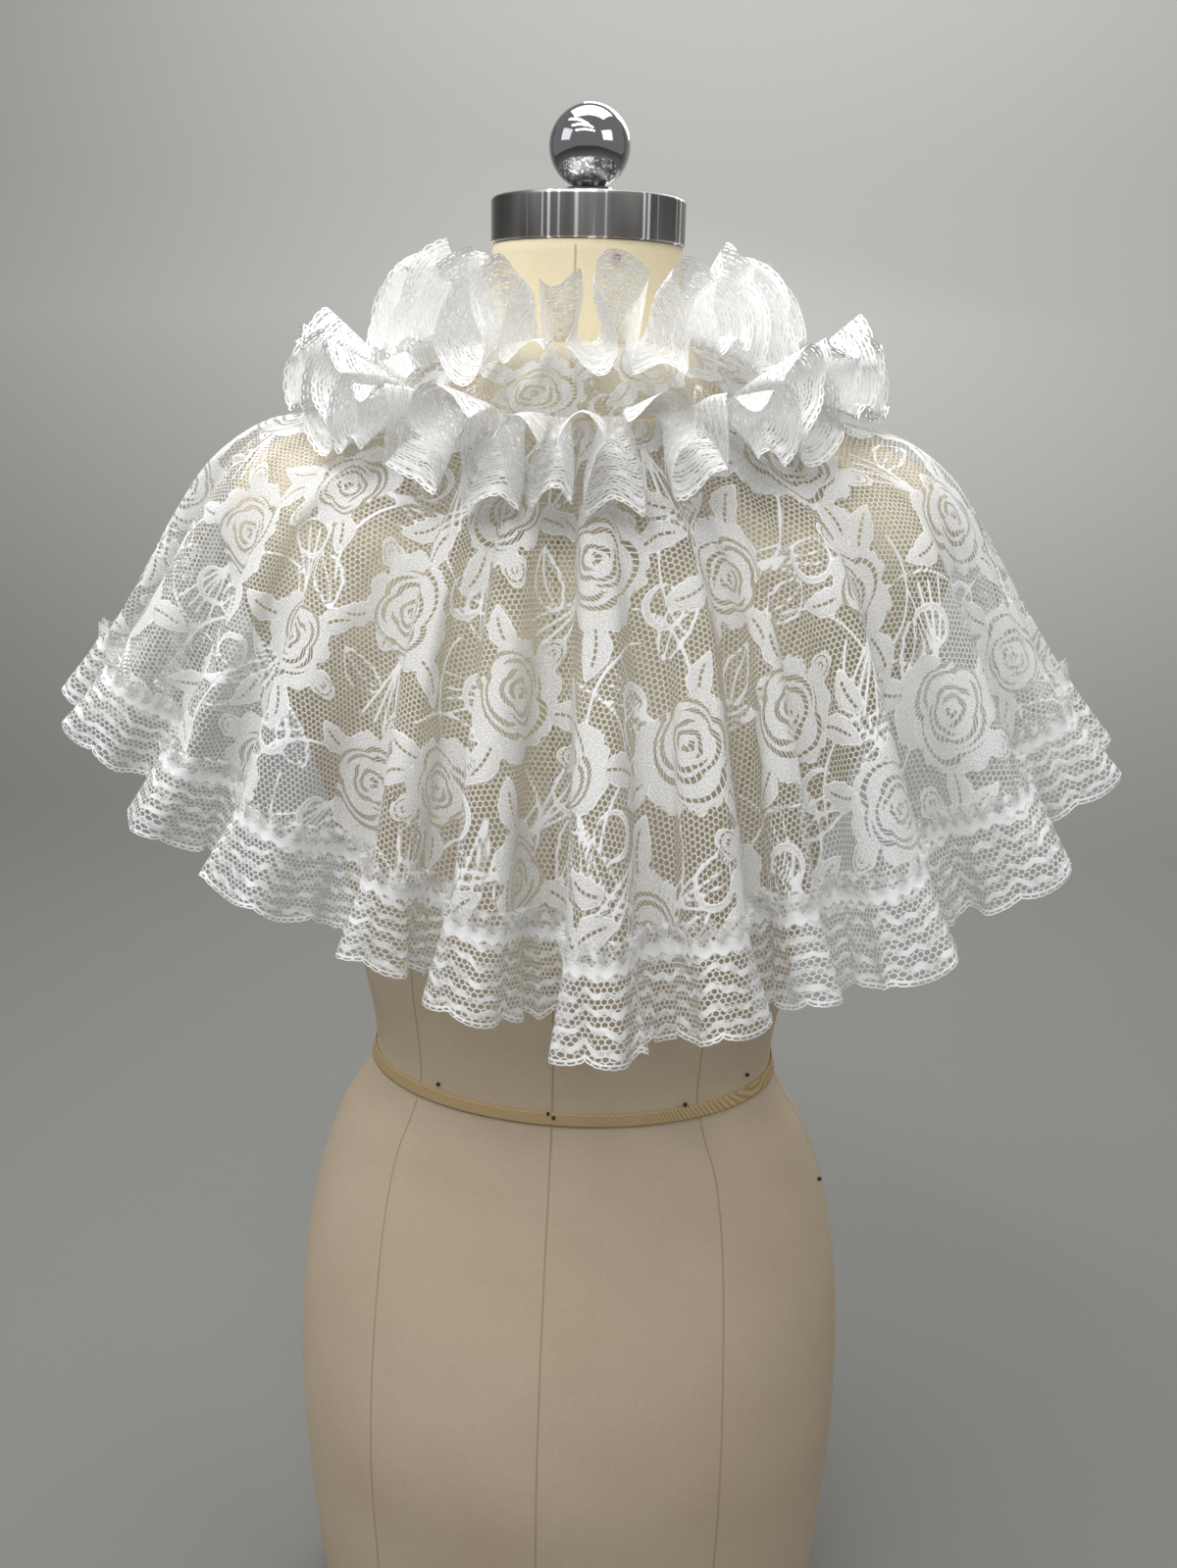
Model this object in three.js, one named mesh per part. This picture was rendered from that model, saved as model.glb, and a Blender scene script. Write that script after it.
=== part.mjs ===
import * as THREE from 'three';

// A lace capelet with ruffled collar and hem, worn by a limbless dress form.
// Millimetres. +Z is up, the garment's front faces +Y, its back faces -Y,
// and the origin is the middle of the form's underside.
// A bearing is an angle in plan, in degrees: 0 is the centre back, 90 is +X, 180 the centre front.

const CLOTH = 1.2;
const SEAM_GAP = 0.3;
const FORM_CLEARANCE = 0.7;

// The dress form. Each row is a level section: half width, and depth to the front and to the back.
const FORM_SECTIONS = [
  { z: 0, half: 156, front: 101, back: 109 },
  { z: 45, half: 161, front: 104, back: 115 },
  { z: 100, half: 165.5, front: 107, back: 120 },
  { z: 165, half: 168, front: 108, back: 124 },
  { z: 238, half: 165, front: 104, back: 117 },
  { z: 299, half: 155.5, front: 98, back: 104 },
  { z: 346, half: 139.5, front: 91, back: 92 },
  { z: 368, half: 126, front: 87, back: 86 },
  { z: 387, half: 118, front: 85, back: 83 },
  { z: 408, half: 118.5, front: 87, back: 83 },
  { z: 441, half: 125, front: 95, back: 85 },
  { z: 500, half: 135, front: 113, back: 92 },
  { z: 555, half: 148, front: 130, back: 98 },
  { z: 605, half: 168, front: 121, back: 103 },
  { z: 645, half: 187, front: 99, back: 104 },
  { z: 683, half: 199, front: 81, back: 99 },
  { z: 704, half: 196, front: 72, back: 91 },
  { z: 722, half: 187, front: 65, back: 82 },
  { z: 735, half: 171, front: 61, back: 75 },
  { z: 744, half: 149, front: 59, back: 70 },
  { z: 751, half: 126, front: 57, back: 66 },
  { z: 758, half: 98, front: 55.5, back: 62 },
  { z: 769, half: 71, front: 54, back: 58 },
  { z: 782, half: 59, front: 52, back: 55 },
  { z: 800, half: 52, front: 50, back: 51.5 },
  { z: 837.7, half: 49, front: 49, back: 49 },
];
const FORM_COLUMNS = 40;
const BASE_BOARD = { height: 8, inset: 1.5 };
const WAIST_TAPE = { z: 387, dip: 4, width: 7, thickness: 1 };
const CAP = { bottom: 838, top: 860.5, radius: 50, bevel: 2 };
const FINIAL = { ringRadius: 12.5, ringHeight: 6, ballRadius: 20.8, ballSink: 1.6 };

// The cape hangs from the neck seam. Each row follows the cloth down from the seam:
// part is the share of the cape's length, and each reach is how far out the cloth lies
// at the side, back and front, at the height beside it.
const CAPE_LENGTH = 250;
const CAPE_PROFILE = [
  { part: 0, side: 98, sideZ: 763, back: 75, backZ: 752, front: 71, frontZ: 736 },
  { part: 0.08, side: 117, sideZ: 754.5, back: 89, backZ: 738, front: 84, frontZ: 722 },
  { part: 0.18, side: 142, sideZ: 751, back: 102, backZ: 717, front: 99, frontZ: 702 },
  { part: 0.3, side: 171, sideZ: 743, back: 112, backZ: 689, front: 113, frontZ: 676 },
  { part: 0.44, side: 197, sideZ: 722, back: 121, backZ: 655, front: 127, frontZ: 644 },
  { part: 0.6, side: 215, sideZ: 691, back: 131, backZ: 616, front: 140, frontZ: 606 },
  { part: 0.8, side: 234, sideZ: 650, back: 143, backZ: 567, front: 152, frontZ: 557 },
  { part: 1, side: 253, sideZ: 611, back: 152, backZ: 512, front: 160, frontZ: 504 },
  { part: 1.17, side: 272, sideZ: 577, back: 159, backZ: 471, front: 165, frontZ: 462 },
];
const CAPE_ROWS = [0, 0.09, 0.22, 0.38, 0.57, 0.78, 1];

// One row for each hanging fold, from the left front edge round the back to the right front edge.
// crest: bearing of its ridge. out: how far the ridge stands out at the hem.
// valley: bearing of the hollow after it. in: how far that hollow sinks.
// from: share of the cape's length where the fold starts.
// lift: how much higher than its even line the hem hangs there, as the capelet sits a little askew.
const FRONT_EDGE = 178.4;
const FOLDS = [
  { crest: -171, out: 13, valley: -164, in: 14, from: 0.1, lift: 0 },
  { crest: -156, out: 20, valley: -148.5, in: 22, from: 0.05, lift: 2 },
  { crest: -142, out: 15, valley: -136, in: 17, from: 0.2, lift: 5 },
  { crest: -129, out: 19, valley: -121, in: 18, from: 0.15, lift: 8 },
  { crest: -112, out: 15, valley: -103, in: 13, from: 0.35, lift: 8 },
  { crest: -96, out: 14, valley: -89, in: 12, from: 0.3, lift: 8 },
  { crest: -81, out: 18, valley: -75, in: 12, from: 0.04, lift: 10 },
  { crest: -65, out: 17, valley: -53, in: 15, from: 0.3, lift: 17 },
  { crest: -46.5, out: 17, valley: -41.5, in: 13, from: 0.3, lift: 13 },
  { crest: -32, out: 16, valley: -22, in: 22, from: 0.12, lift: 16 },
  { crest: -17, out: 10, valley: -12.5, in: 24, from: 0.2, lift: 14 },
  { crest: -6.5, out: 17, valley: 1, in: 30, from: 0.08, lift: 5 },
  { crest: 7, out: 34, valley: 13.5, in: 4, from: 0.02, lift: -6 },
  { crest: 20, out: 20, valley: 25.5, in: 24, from: 0.1, lift: -7 },
  { crest: 29.5, out: 8, valley: 33, in: 12, from: 0.25, lift: -8 },
  { crest: 40.5, out: 24, valley: 48.5, in: 20, from: 0.12, lift: -13 },
  { crest: 59, out: 20, valley: 69, in: 14, from: 0.3, lift: -13 },
  { crest: 78, out: 14, valley: 86, in: 12, from: 0.42, lift: -3 },
  { crest: 94, out: 14, valley: 101, in: 13, from: 0.45, lift: 2 },
  { crest: 110, out: 17, valley: 119, in: 16, from: 0.35, lift: 0 },
  { crest: 127, out: 16, valley: 133.5, in: 18, from: 0.15, lift: 2 },
  { crest: 141, out: 21, valley: 148, in: 21, from: 0.1, lift: 0 },
  { crest: 154, out: 16, valley: 160.5, in: 17, from: 0.15, lift: -2 },
  { crest: 168, out: 18, valley: FRONT_EDGE, in: 8, from: 0.05, lift: 0 },
];
const FRONT_HOLLOW = { valley: -FRONT_EDGE, in: 8 };
const STEPS_PER_FOLD = 6;
const FOLD_FLATNESS = 1.25;
const FOLD_BULGE = 0.16;
const FOLD_GROWTH = 1.15;
const LIFT_GROWTH = 1.5;
const LEFT_SEAM_FOLD = 6;
const RIGHT_SEAM_FOLD = 18;
const SEAM_TRIM = 0.011;

// A gathered lace strip is sewn over each panel's edge, with a heading left free above the seam.
const HEM_STRIP = { heading: 12, drop: 42, offset: 2, headingLift: 3.9, flare: 3 };

// The collar band is gathered lace between the neck seam and the collar seam.
const COLLAR_SEAM = { half: 63, back: 61, front: 60, z: 787 };
const COLLAR = {
  gathers: 26, stepsPerGather: 4, depth: 2.2, bulge: 5, seamRise: 0.2, rows: [0, 0.3, 0.7, 1],
};

// Each ruffle is a strip sewn at one edge. Its free edge swings up and down by swing, and by
// backSwing at the back, about its mean slope at the side, back and front, in degrees.
// Its waves are crowded and spread by wander, in degrees, in wanderTurns turns round the neck.
// Waves grow and shrink by unevenness, UNEVEN_TURN radians further on at each wave.
// standOff and rise place its sewn edge beside the seam that it covers.
const NECK_RUFFLE_TOP = {
  width: 49, waves: 20, swing: 38, backSwing: 26, sway: 4.2, side: 37, back: 21, front: 28, curl: 14,
  wander: 1.5, wanderTurns: 5, unevenness: 0.25, standOff: 0.6, rise: 2, rows: [0, 0.5, 1],
};
const NECK_RUFFLE_BASE = {
  width: 57, waves: 25, swing: 21, backSwing: 21, sway: 5.2, side: 20, back: -16, front: -10, curl: 12,
  wander: 1.8, wanderTurns: 7, unevenness: 0.25, standOff: 1.7, rise: 2.1, rows: [0, 0.5, 1],
};
const STEPS_PER_WAVE = 6;
const UNEVEN_TURN = 2.4;

// A flattened ball button closes the collar at the front. It sits on the collar's right front edge.
const BUTTON = { radius: 5, flatness: 0.6, collarRow: 2 };

const degrees = THREE.MathUtils.degToRad;
const mix = THREE.MathUtils.lerp;

// Smooth curve through a table's rows: key gives the place along it, name the column read.
function along(rows, key, name, at) {
  let index = rows.findIndex((row) => row[key] > at);
  if (index < 1) index = index === 0 ? 1 : rows.length - 1;
  const slope = (middle) => {
    const before = rows[Math.max(middle - 1, 0)];
    const after = rows[Math.min(middle + 1, rows.length - 1)];
    return (after[name] - before[name]) / (after[key] - before[key]);
  };
  const from = rows[index - 1];
  const to = rows[index];
  const span = to[key] - from[key];
  const share = THREE.MathUtils.clamp((at - from[key]) / span, 0, 1);
  const square = share * share;
  const cube = square * share;
  return (2 * cube - 3 * square + 1) * from[name] + (cube - 2 * square + share) * span * slope(index - 1)
    + (3 * square - 2 * cube) * to[name] + (cube - square) * span * slope(index);
}

function bodyFromMesh(points, faces) {
  const geometry = new THREE.BufferGeometry();
  geometry.setAttribute('position', new THREE.Float32BufferAttribute(points.flatMap((p) => [p.x, p.y, p.z]), 3));
  let volume = 0;
  faces.forEach(([a, b, c]) => {
    volume += points[a].dot(points[b].clone().cross(points[c]));
  });
  geometry.setIndex((volume > 0 ? faces : faces.map(([a, b, c]) => [a, c, b])).flat());
  geometry.computeVertexNormals();
  return geometry;
}

// A wall of even thickness about a grid of points. pointAt(column, row) gives the middle of the cloth.
function clothWall(columns, rows, pointAt, thickness = CLOTH) {
  const middle = [];
  for (let column = 0; column <= columns; column += 1) {
    for (let row = 0; row <= rows; row += 1) middle.push(pointAt(column, row));
  }
  const place = (column, row) => column * (rows + 1) + row;
  const sides = [[], []];
  for (let column = 0; column <= columns; column += 1) {
    for (let row = 0; row <= rows; row += 1) {
      const across = middle[place(Math.min(column + 1, columns), row)].clone()
        .sub(middle[place(Math.max(column - 1, 0), row)]);
      const down = middle[place(column, Math.min(row + 1, rows))].clone()
        .sub(middle[place(column, Math.max(row - 1, 0))]);
      const normal = across.cross(down).normalize().multiplyScalar(thickness / 2);
      sides[0].push(middle[place(column, row)].clone().add(normal));
      sides[1].push(middle[place(column, row)].clone().sub(normal));
    }
  }
  const count = middle.length;
  const faces = [];
  const quad = (a, b, c, d) => faces.push([a, b, c], [a, c, d]);
  for (let column = 0; column < columns; column += 1) {
    for (let row = 0; row < rows; row += 1) {
      const [a, b] = [place(column, row), place(column + 1, row)];
      const [c, d] = [place(column + 1, row + 1), place(column, row + 1)];
      quad(a, b, c, d);
      quad(count + a, count + d, count + c, count + b);
    }
  }
  const border = [];
  for (let column = 0; column < columns; column += 1) border.push(place(column, 0));
  for (let row = 0; row < rows; row += 1) border.push(place(columns, row));
  for (let column = columns; column > 0; column -= 1) border.push(place(column, rows));
  for (let row = rows; row > 0; row -= 1) border.push(place(0, row));
  border.forEach((here, index) => {
    const next = border[(index + 1) % border.length];
    quad(count + here, count + next, next, here);
  });
  return bodyFromMesh([...sides[0], ...sides[1]], faces);
}

// A solid through level rings, closed at both ends.
function loft(rings) {
  const count = rings[0].length;
  const points = rings.flat();
  const faces = [];
  for (let ring = 0; ring < rings.length - 1; ring += 1) {
    for (let step = 0; step < count; step += 1) {
      const next = (step + 1) % count;
      const [a, b] = [ring * count + step, ring * count + next];
      const [c, d] = [(ring + 1) * count + next, (ring + 1) * count + step];
      faces.push([a, b, c], [a, c, d]);
    }
  }
  [rings[0], rings[rings.length - 1]].forEach((ring, end) => {
    const middle = new THREE.Vector3();
    ring.forEach((p) => middle.addScaledVector(p, 1 / count));
    points.push(middle);
    const first = end * (rings.length - 1) * count;
    for (let step = 0; step < count; step += 1) {
      const next = (step + 1) % count;
      const [a, b] = [first + step, first + next];
      faces.push(end ? [a, b, points.length - 1] : [b, a, points.length - 1]);
    }
  });
  return bodyFromMesh(points, faces);
}

function formRing(z, grow = 0, columns = FORM_COLUMNS) {
  const half = along(FORM_SECTIONS, 'z', 'half', z) + grow;
  const depth = { front: along(FORM_SECTIONS, 'z', 'front', z) + grow, back: along(FORM_SECTIONS, 'z', 'back', z) + grow };
  return Array.from({ length: columns }, (_, step) => {
    const angle = 2 * Math.PI * step / columns;
    const reach = Math.cos(angle) > 0 ? depth.back : depth.front;
    return new THREE.Vector3(half * Math.sin(angle), -reach * Math.cos(angle), z);
  });
}

// Distance from a point to the form's surface, worked out from the form's sections.
function formDistance(p) {
  const step = 0.5;
  const value = (x, y, z) => {
    const half = along(FORM_SECTIONS, 'z', 'half', z);
    const depth = along(FORM_SECTIONS, 'z', y > 0 ? 'front' : 'back', z);
    return Math.hypot(x / half, y / depth) - 1;
  };
  const here = value(p.x, p.y, p.z);
  const slope = new THREE.Vector3(
    value(p.x + step, p.y, p.z) - value(p.x - step, p.y, p.z),
    value(p.x, p.y + step, p.z) - value(p.x, p.y - step, p.z),
    value(p.x, p.y, p.z + step) - value(p.x, p.y, p.z - step),
  ).divideScalar(2 * step);
  return { distance: here / slope.length(), away: slope.normalize() };
}

// Cloth that would sink into the form is laid on it instead.
function laidOnForm(p, clearance = CLOTH / 2 + FORM_CLEARANCE) {
  for (let pass = 0; pass < 6; pass += 1) {
    const { distance, away } = formDistance(p);
    if (distance >= clearance) break;
    p.addScaledVector(away, clearance - distance + 0.02);
  }
  return p;
}

function ovalPoint(bearing, half, back, front) {
  const turn = degrees(bearing);
  const reach = Math.cos(turn) > 0 ? back : front;
  return new THREE.Vector2(half * Math.sin(turn), -reach * Math.cos(turn));
}

function blendBySide(bearing, side, back, front) {
  const turn = degrees(bearing);
  const end = Math.cos(turn) > 0 ? back : front;
  return mix(end, side, Math.sin(turn) ** 2);
}

// The cape without its folds.
function capeBase(bearing, part) {
  const read = (name) => along(CAPE_PROFILE, 'part', name, part);
  const plan = ovalPoint(bearing, read('side'), read('back'), read('front'));
  const z = blendBySide(bearing, read('sideZ'), read('backZ'), read('frontZ'));
  return new THREE.Vector3(plan.x, plan.y, z);
}

// How a fold number lies: 3.5 is the ridge of fold 3 and 4 is the hollow after it.
function foldAt(number) {
  const index = Math.min(Math.floor(number), FOLDS.length - 1);
  const fold = FOLDS[index];
  const phase = 2 * Math.PI * (number - index) - Math.PI;
  const hollow = phase < 0 ? FOLDS[index - 1] ?? FRONT_HOLLOW : fold;
  const neighbour = FOLDS[index + Math.sign(phase)] ?? fold;
  const shared = (name) => mix(fold[name], neighbour[name], Math.abs(phase) / (2 * Math.PI));
  const wave = Math.tanh(FOLD_FLATNESS * Math.cos(phase)) / Math.tanh(FOLD_FLATNESS);
  const height = (fold.out + hollow.in) / 2;
  return {
    bearing: mix(fold.crest, hollow.valley, Math.abs(phase) / Math.PI),
    out: height * wave + (fold.out - hollow.in) / 2,
    sway: FOLD_BULGE * height * Math.sin(2 * phase),
    from: shared('from'),
    lift: shared('lift'),
  };
}

// Columns at a sixth of a wave apart, half a step off the ridge, so that ridges and hollows come out flat.
function waveNumber(column, stepsPerWave, first, last) {
  return THREE.MathUtils.clamp(first + (column - 0.5) / stepsPerWave, first, last);
}

function capePoint(number, part) {
  const fold = foldAt(number);
  const step = 0.5;
  const point = capeBase(fold.bearing, part);
  const across = capeBase(fold.bearing + step, part).sub(capeBase(fold.bearing - step, part)).normalize();
  const down = capeBase(fold.bearing, part + 0.01).sub(capeBase(fold.bearing, part - 0.01)).normalize();
  const outward = down.clone().cross(across).normalize();
  if (outward.z < 0) outward.negate();
  const grown = Math.max(part - fold.from, 0) / (1 - fold.from);
  const size = grown ** FOLD_GROWTH;
  point.addScaledVector(outward, fold.out * size).addScaledVector(across, fold.sway * size);
  point.z += fold.lift * part ** LIFT_GROWTH;
  return laidOnForm(point);
}

function capeNormal(number, part) {
  const across = capePoint(Math.min(number + 0.03, FOLDS.length), part)
    .sub(capePoint(Math.max(number - 0.03, 0), part));
  const down = capePoint(number, part + 0.01).sub(capePoint(number, part - 0.01));
  return down.cross(across).normalize();
}

// A wall over a run of folds, kept half a seam gap back from the pieces beside it.
function overFolds(firstFold, lastFold, rows, pointAt) {
  const columns = (lastFold - firstFold) * STEPS_PER_FOLD + 1;
  const start = firstFold + (firstFold > 0 ? SEAM_TRIM : 0);
  const end = lastFold - (lastFold < FOLDS.length ? SEAM_TRIM : 0);
  return clothWall(columns, rows - 1, (column, row) => {
    const number = waveNumber(column, STEPS_PER_FOLD, firstFold, lastFold);
    return pointAt(THREE.MathUtils.clamp(number, start, end), row);
  });
}

function capePanel(firstFold, lastFold) {
  return overFolds(firstFold, lastFold, CAPE_ROWS.length, (number, row) => capePoint(number, CAPE_ROWS[row]));
}

function hemStrip(firstFold, lastFold) {
  const rows = [-HEM_STRIP.heading, 0, HEM_STRIP.drop / 2, HEM_STRIP.drop];
  return overFolds(firstFold, lastFold, rows.length, (number, row) => {
    const part = 1 + rows[row] / CAPE_LENGTH;
    const lift = rows[row] < 0 ? HEM_STRIP.headingLift
      : HEM_STRIP.offset + HEM_STRIP.flare * rows[row] / HEM_STRIP.drop;
    return capePoint(number, part).addScaledVector(capeNormal(number, part), lift);
  });
}

function neckSeamPoint(bearing) {
  return capeBase(bearing, 0);
}

function collarSeamPoint(bearing) {
  const plan = ovalPoint(bearing, COLLAR_SEAM.half, COLLAR_SEAM.back, COLLAR_SEAM.front);
  return new THREE.Vector3(plan.x, plan.y, COLLAR_SEAM.z);
}

function planOutward(seamPoint, bearing) {
  const across = seamPoint(bearing + 0.5).sub(seamPoint(bearing - 0.5));
  return new THREE.Vector3(across.y, -across.x, 0).normalize();
}

function collarPoint(column, row) {
  const share = COLLAR.rows[row];
  const bearing = mix(-FRONT_EDGE, FRONT_EDGE, column / (COLLAR.gathers * COLLAR.stepsPerGather));
  const start = neckSeamPoint(bearing);
  start.z += CLOTH + SEAM_GAP + COLLAR.seamRise;
  const gather = Math.cos(2 * Math.PI * column / COLLAR.stepsPerGather);
  const swell = Math.sin(Math.PI * share) * (COLLAR.bulge + COLLAR.depth * gather);
  return start.lerp(collarSeamPoint(bearing), share)
    .addScaledVector(planOutward(neckSeamPoint, bearing), swell);
}

function collarBand() {
  return clothWall(COLLAR.gathers * COLLAR.stepsPerGather, COLLAR.rows.length - 1, collarPoint);
}

function ruffle(shape, seamPoint) {
  return clothWall(shape.waves * STEPS_PER_WAVE + 1, shape.rows.length - 1, (column, row) => {
    const share = shape.rows[row];
    const wave = waveNumber(column, STEPS_PER_WAVE, 0, shape.waves);
    const wander = shape.wander * Math.sin(2 * Math.PI * shape.wanderTurns * wave / shape.waves);
    const bearing = mix(-FRONT_EDGE, FRONT_EDGE, wave / shape.waves) + wander;
    const uneven = 1 + shape.unevenness * Math.sin(UNEVEN_TURN * wave);
    const phase = 2 * Math.PI * wave;
    const mean = blendBySide(bearing, shape.side, shape.back, shape.front);
    const swing = uneven * blendBySide(bearing, shape.swing, shape.backSwing, shape.swing);
    const slope = degrees(mean + swing * Math.cos(phase) - shape.curl * (share - 0.5));
    const outward = planOutward(seamPoint, bearing);
    const across = new THREE.Vector3(-outward.y, outward.x, 0);
    const reach = shape.width * share;
    const point = seamPoint(bearing).addScaledVector(outward, shape.standOff + reach * Math.cos(slope));
    point.z += shape.rise + reach * Math.sin(slope);
    return point.addScaledVector(across, shape.sway * share * uneven * Math.sin(2 * phase));
  });
}

function formBody() {
  const heights = FORM_SECTIONS.map((row) => row.z).filter((z) => z > BASE_BOARD.height + 20);
  return loft([BASE_BOARD.height + SEAM_GAP, ...heights].map((z) => formRing(z)));
}

// The tape lies on the form's flat facets, and dips towards the back.
function tapeRing(edge, standOff) {
  return formRing(WAIST_TAPE.z).map((p, step) => {
    const z = WAIST_TAPE.z - WAIST_TAPE.dip * Math.cos(2 * Math.PI * step / FORM_COLUMNS)
      + edge * WAIST_TAPE.width;
    const levels = FORM_SECTIONS.map((row) => row.z);
    const above = levels.findIndex((level) => level > z);
    const share = (z - levels[above - 1]) / (levels[above] - levels[above - 1]);
    const onForm = formRing(levels[above - 1])[step].lerp(formRing(levels[above])[step], share);
    const outward = new THREE.Vector3(onForm.x, onForm.y, 0).normalize();
    return onForm.addScaledVector(outward, standOff);
  });
}

function waistTape() {
  const inside = SEAM_GAP + 0.25;
  const outside = inside + WAIST_TAPE.thickness;
  const rings = [tapeRing(-0.5, inside), tapeRing(-0.5, outside), tapeRing(0.5, outside), tapeRing(0.5, inside)];
  const points = rings.flat();
  const faces = [];
  rings.forEach((_, ring) => {
    const after = (ring + 1) % rings.length;
    for (let step = 0; step < FORM_COLUMNS; step += 1) {
      const next = (step + 1) % FORM_COLUMNS;
      const [a, b] = [ring * FORM_COLUMNS + step, ring * FORM_COLUMNS + next];
      const [c, d] = [after * FORM_COLUMNS + next, after * FORM_COLUMNS + step];
      faces.push([a, b, c], [a, c, d]);
    }
  });
  return bodyFromMesh(points, faces);
}

function lathe(profile, segments) {
  const geometry = new THREE.LatheGeometry(profile.map(([radius, z]) => new THREE.Vector2(radius, z)), segments);
  geometry.rotateX(Math.PI / 2);
  return geometry;
}

function neckCap() {
  const { bottom, top, radius, bevel } = CAP;
  return lathe([[0, bottom], [radius - bevel / 2, bottom], [radius, bottom + bevel / 2],
    [radius, top - bevel], [radius - bevel, top], [0, top]], 48);
}

function finial() {
  const base = CAP.top + SEAM_GAP;
  const ringTop = base + FINIAL.ringHeight;
  const centre = ringTop + FINIAL.ballRadius - FINIAL.ballSink;
  const profile = [[0, base], [FINIAL.ringRadius, base], [FINIAL.ringRadius, ringTop - 1]];
  const start = Math.acos((centre - ringTop) / FINIAL.ballRadius);
  const steps = 10;
  for (let step = 0; step <= steps; step += 1) {
    const angle = mix(start, Math.PI, step / steps);
    const radius = step === steps ? 0 : FINIAL.ballRadius * Math.sin(angle);
    profile.push([radius, centre - FINIAL.ballRadius * Math.cos(angle)]);
  }
  return lathe(profile, 24);
}

function collarButton() {
  const seat = collarPoint(COLLAR.gathers * COLLAR.stepsPerGather, BUTTON.collarRow);
  const standOff = CLOTH / 2 + SEAM_GAP + BUTTON.radius * BUTTON.flatness;
  const geometry = new THREE.SphereGeometry(BUTTON.radius, 12, 8);
  geometry.scale(1, BUTTON.flatness, 1);
  geometry.translate(seat.x, seat.y + standOff, seat.z);
  return geometry;
}

const linen = { color: 0xd9c8a9, roughness: 0.85, metalness: 0 };
const board = { color: 0x8b6b48, roughness: 0.7, metalness: 0 };
const tape = { color: 0xd3b27a, roughness: 0.8, metalness: 0 };
const brushedSteel = { color: 0x8f9092, roughness: 0.35, metalness: 1 };
const polishedSteel = { color: 0xc8c9cb, roughness: 0.08, metalness: 1 };
const lace = { color: 0xf4f4f2, roughness: 0.8, metalness: 0 };
const pearl = { color: 0xf1efe8, roughness: 0.3, metalness: 0 };

const part = new THREE.Group();
function add(name, geometry, look) {
  const mesh = new THREE.Mesh(geometry, new THREE.MeshStandardMaterial(look));
  mesh.name = name;
  part.add(mesh);
}

const boardRings = [0, BASE_BOARD.height].map((z) => formRing(0, -BASE_BOARD.inset).map((p) => p.setZ(z)));
add('form_base_board', loft(boardRings), board);
add('form_body', formBody(), linen);
add('form_waist_tape', waistTape(), tape);
add('form_neck_cap', neckCap(), brushedSteel);
add('form_finial', finial(), polishedSteel);
const panels = [
  { name: 'front_left', first: 0, last: LEFT_SEAM_FOLD },
  { name: 'back', first: LEFT_SEAM_FOLD, last: RIGHT_SEAM_FOLD },
  { name: 'front_right', first: RIGHT_SEAM_FOLD, last: FOLDS.length },
];
panels.forEach(({ name, first, last }) => {
  add(`cape_${name}`, capePanel(first, last), lace);
  add(`hem_ruffle_${name}`, hemStrip(first, last), lace);
});
add('collar_band', collarBand(), lace);
add('neck_ruffle_base', ruffle(NECK_RUFFLE_BASE, neckSeamPoint), lace);
add('neck_ruffle_top', ruffle(NECK_RUFFLE_TOP, collarSeamPoint), lace);
add('collar_button', collarButton(), pearl);

export default part;
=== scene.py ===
import math

import bmesh
import bpy
import numpy as np
from mathutils import Matrix, Vector


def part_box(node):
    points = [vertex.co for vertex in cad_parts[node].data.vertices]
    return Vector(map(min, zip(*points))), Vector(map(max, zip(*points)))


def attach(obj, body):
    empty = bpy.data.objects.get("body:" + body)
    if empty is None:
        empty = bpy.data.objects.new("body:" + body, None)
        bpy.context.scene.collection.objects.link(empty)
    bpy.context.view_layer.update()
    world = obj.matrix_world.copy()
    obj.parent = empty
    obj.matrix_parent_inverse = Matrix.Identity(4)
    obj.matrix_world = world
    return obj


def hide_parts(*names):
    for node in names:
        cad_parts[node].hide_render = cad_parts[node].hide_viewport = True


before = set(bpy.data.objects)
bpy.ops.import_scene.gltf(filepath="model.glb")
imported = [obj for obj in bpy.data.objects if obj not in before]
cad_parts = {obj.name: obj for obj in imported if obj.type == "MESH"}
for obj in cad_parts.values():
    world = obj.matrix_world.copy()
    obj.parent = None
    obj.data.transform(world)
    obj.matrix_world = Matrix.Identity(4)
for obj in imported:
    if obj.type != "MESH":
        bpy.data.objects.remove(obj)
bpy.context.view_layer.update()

# A white rose lace capelet on a limbless linen dress form, seen from its back.
# Shapes are worked out in millimetres and set down in metres.
# A bearing is an angle in plan, in degrees: 0 is the centre back, 90 is +X, 180 the centre front.

MM = 0.001
scene = bpy.context.scene

# Camera, from the photograph: a little above the neck, looking down at the back
CAMERA = {"distance": 807.5, "height": 772, "azimuth": 7, "down": 15.4, "roll": 1.135}
FOCAL_PIXELS = 1500
PICTURE_HEIGHT_PIXELS = 1599
AXIS_LEFT_OF_MIDDLE_PIXELS = 11.5
SENSOR_MM = 36


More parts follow.
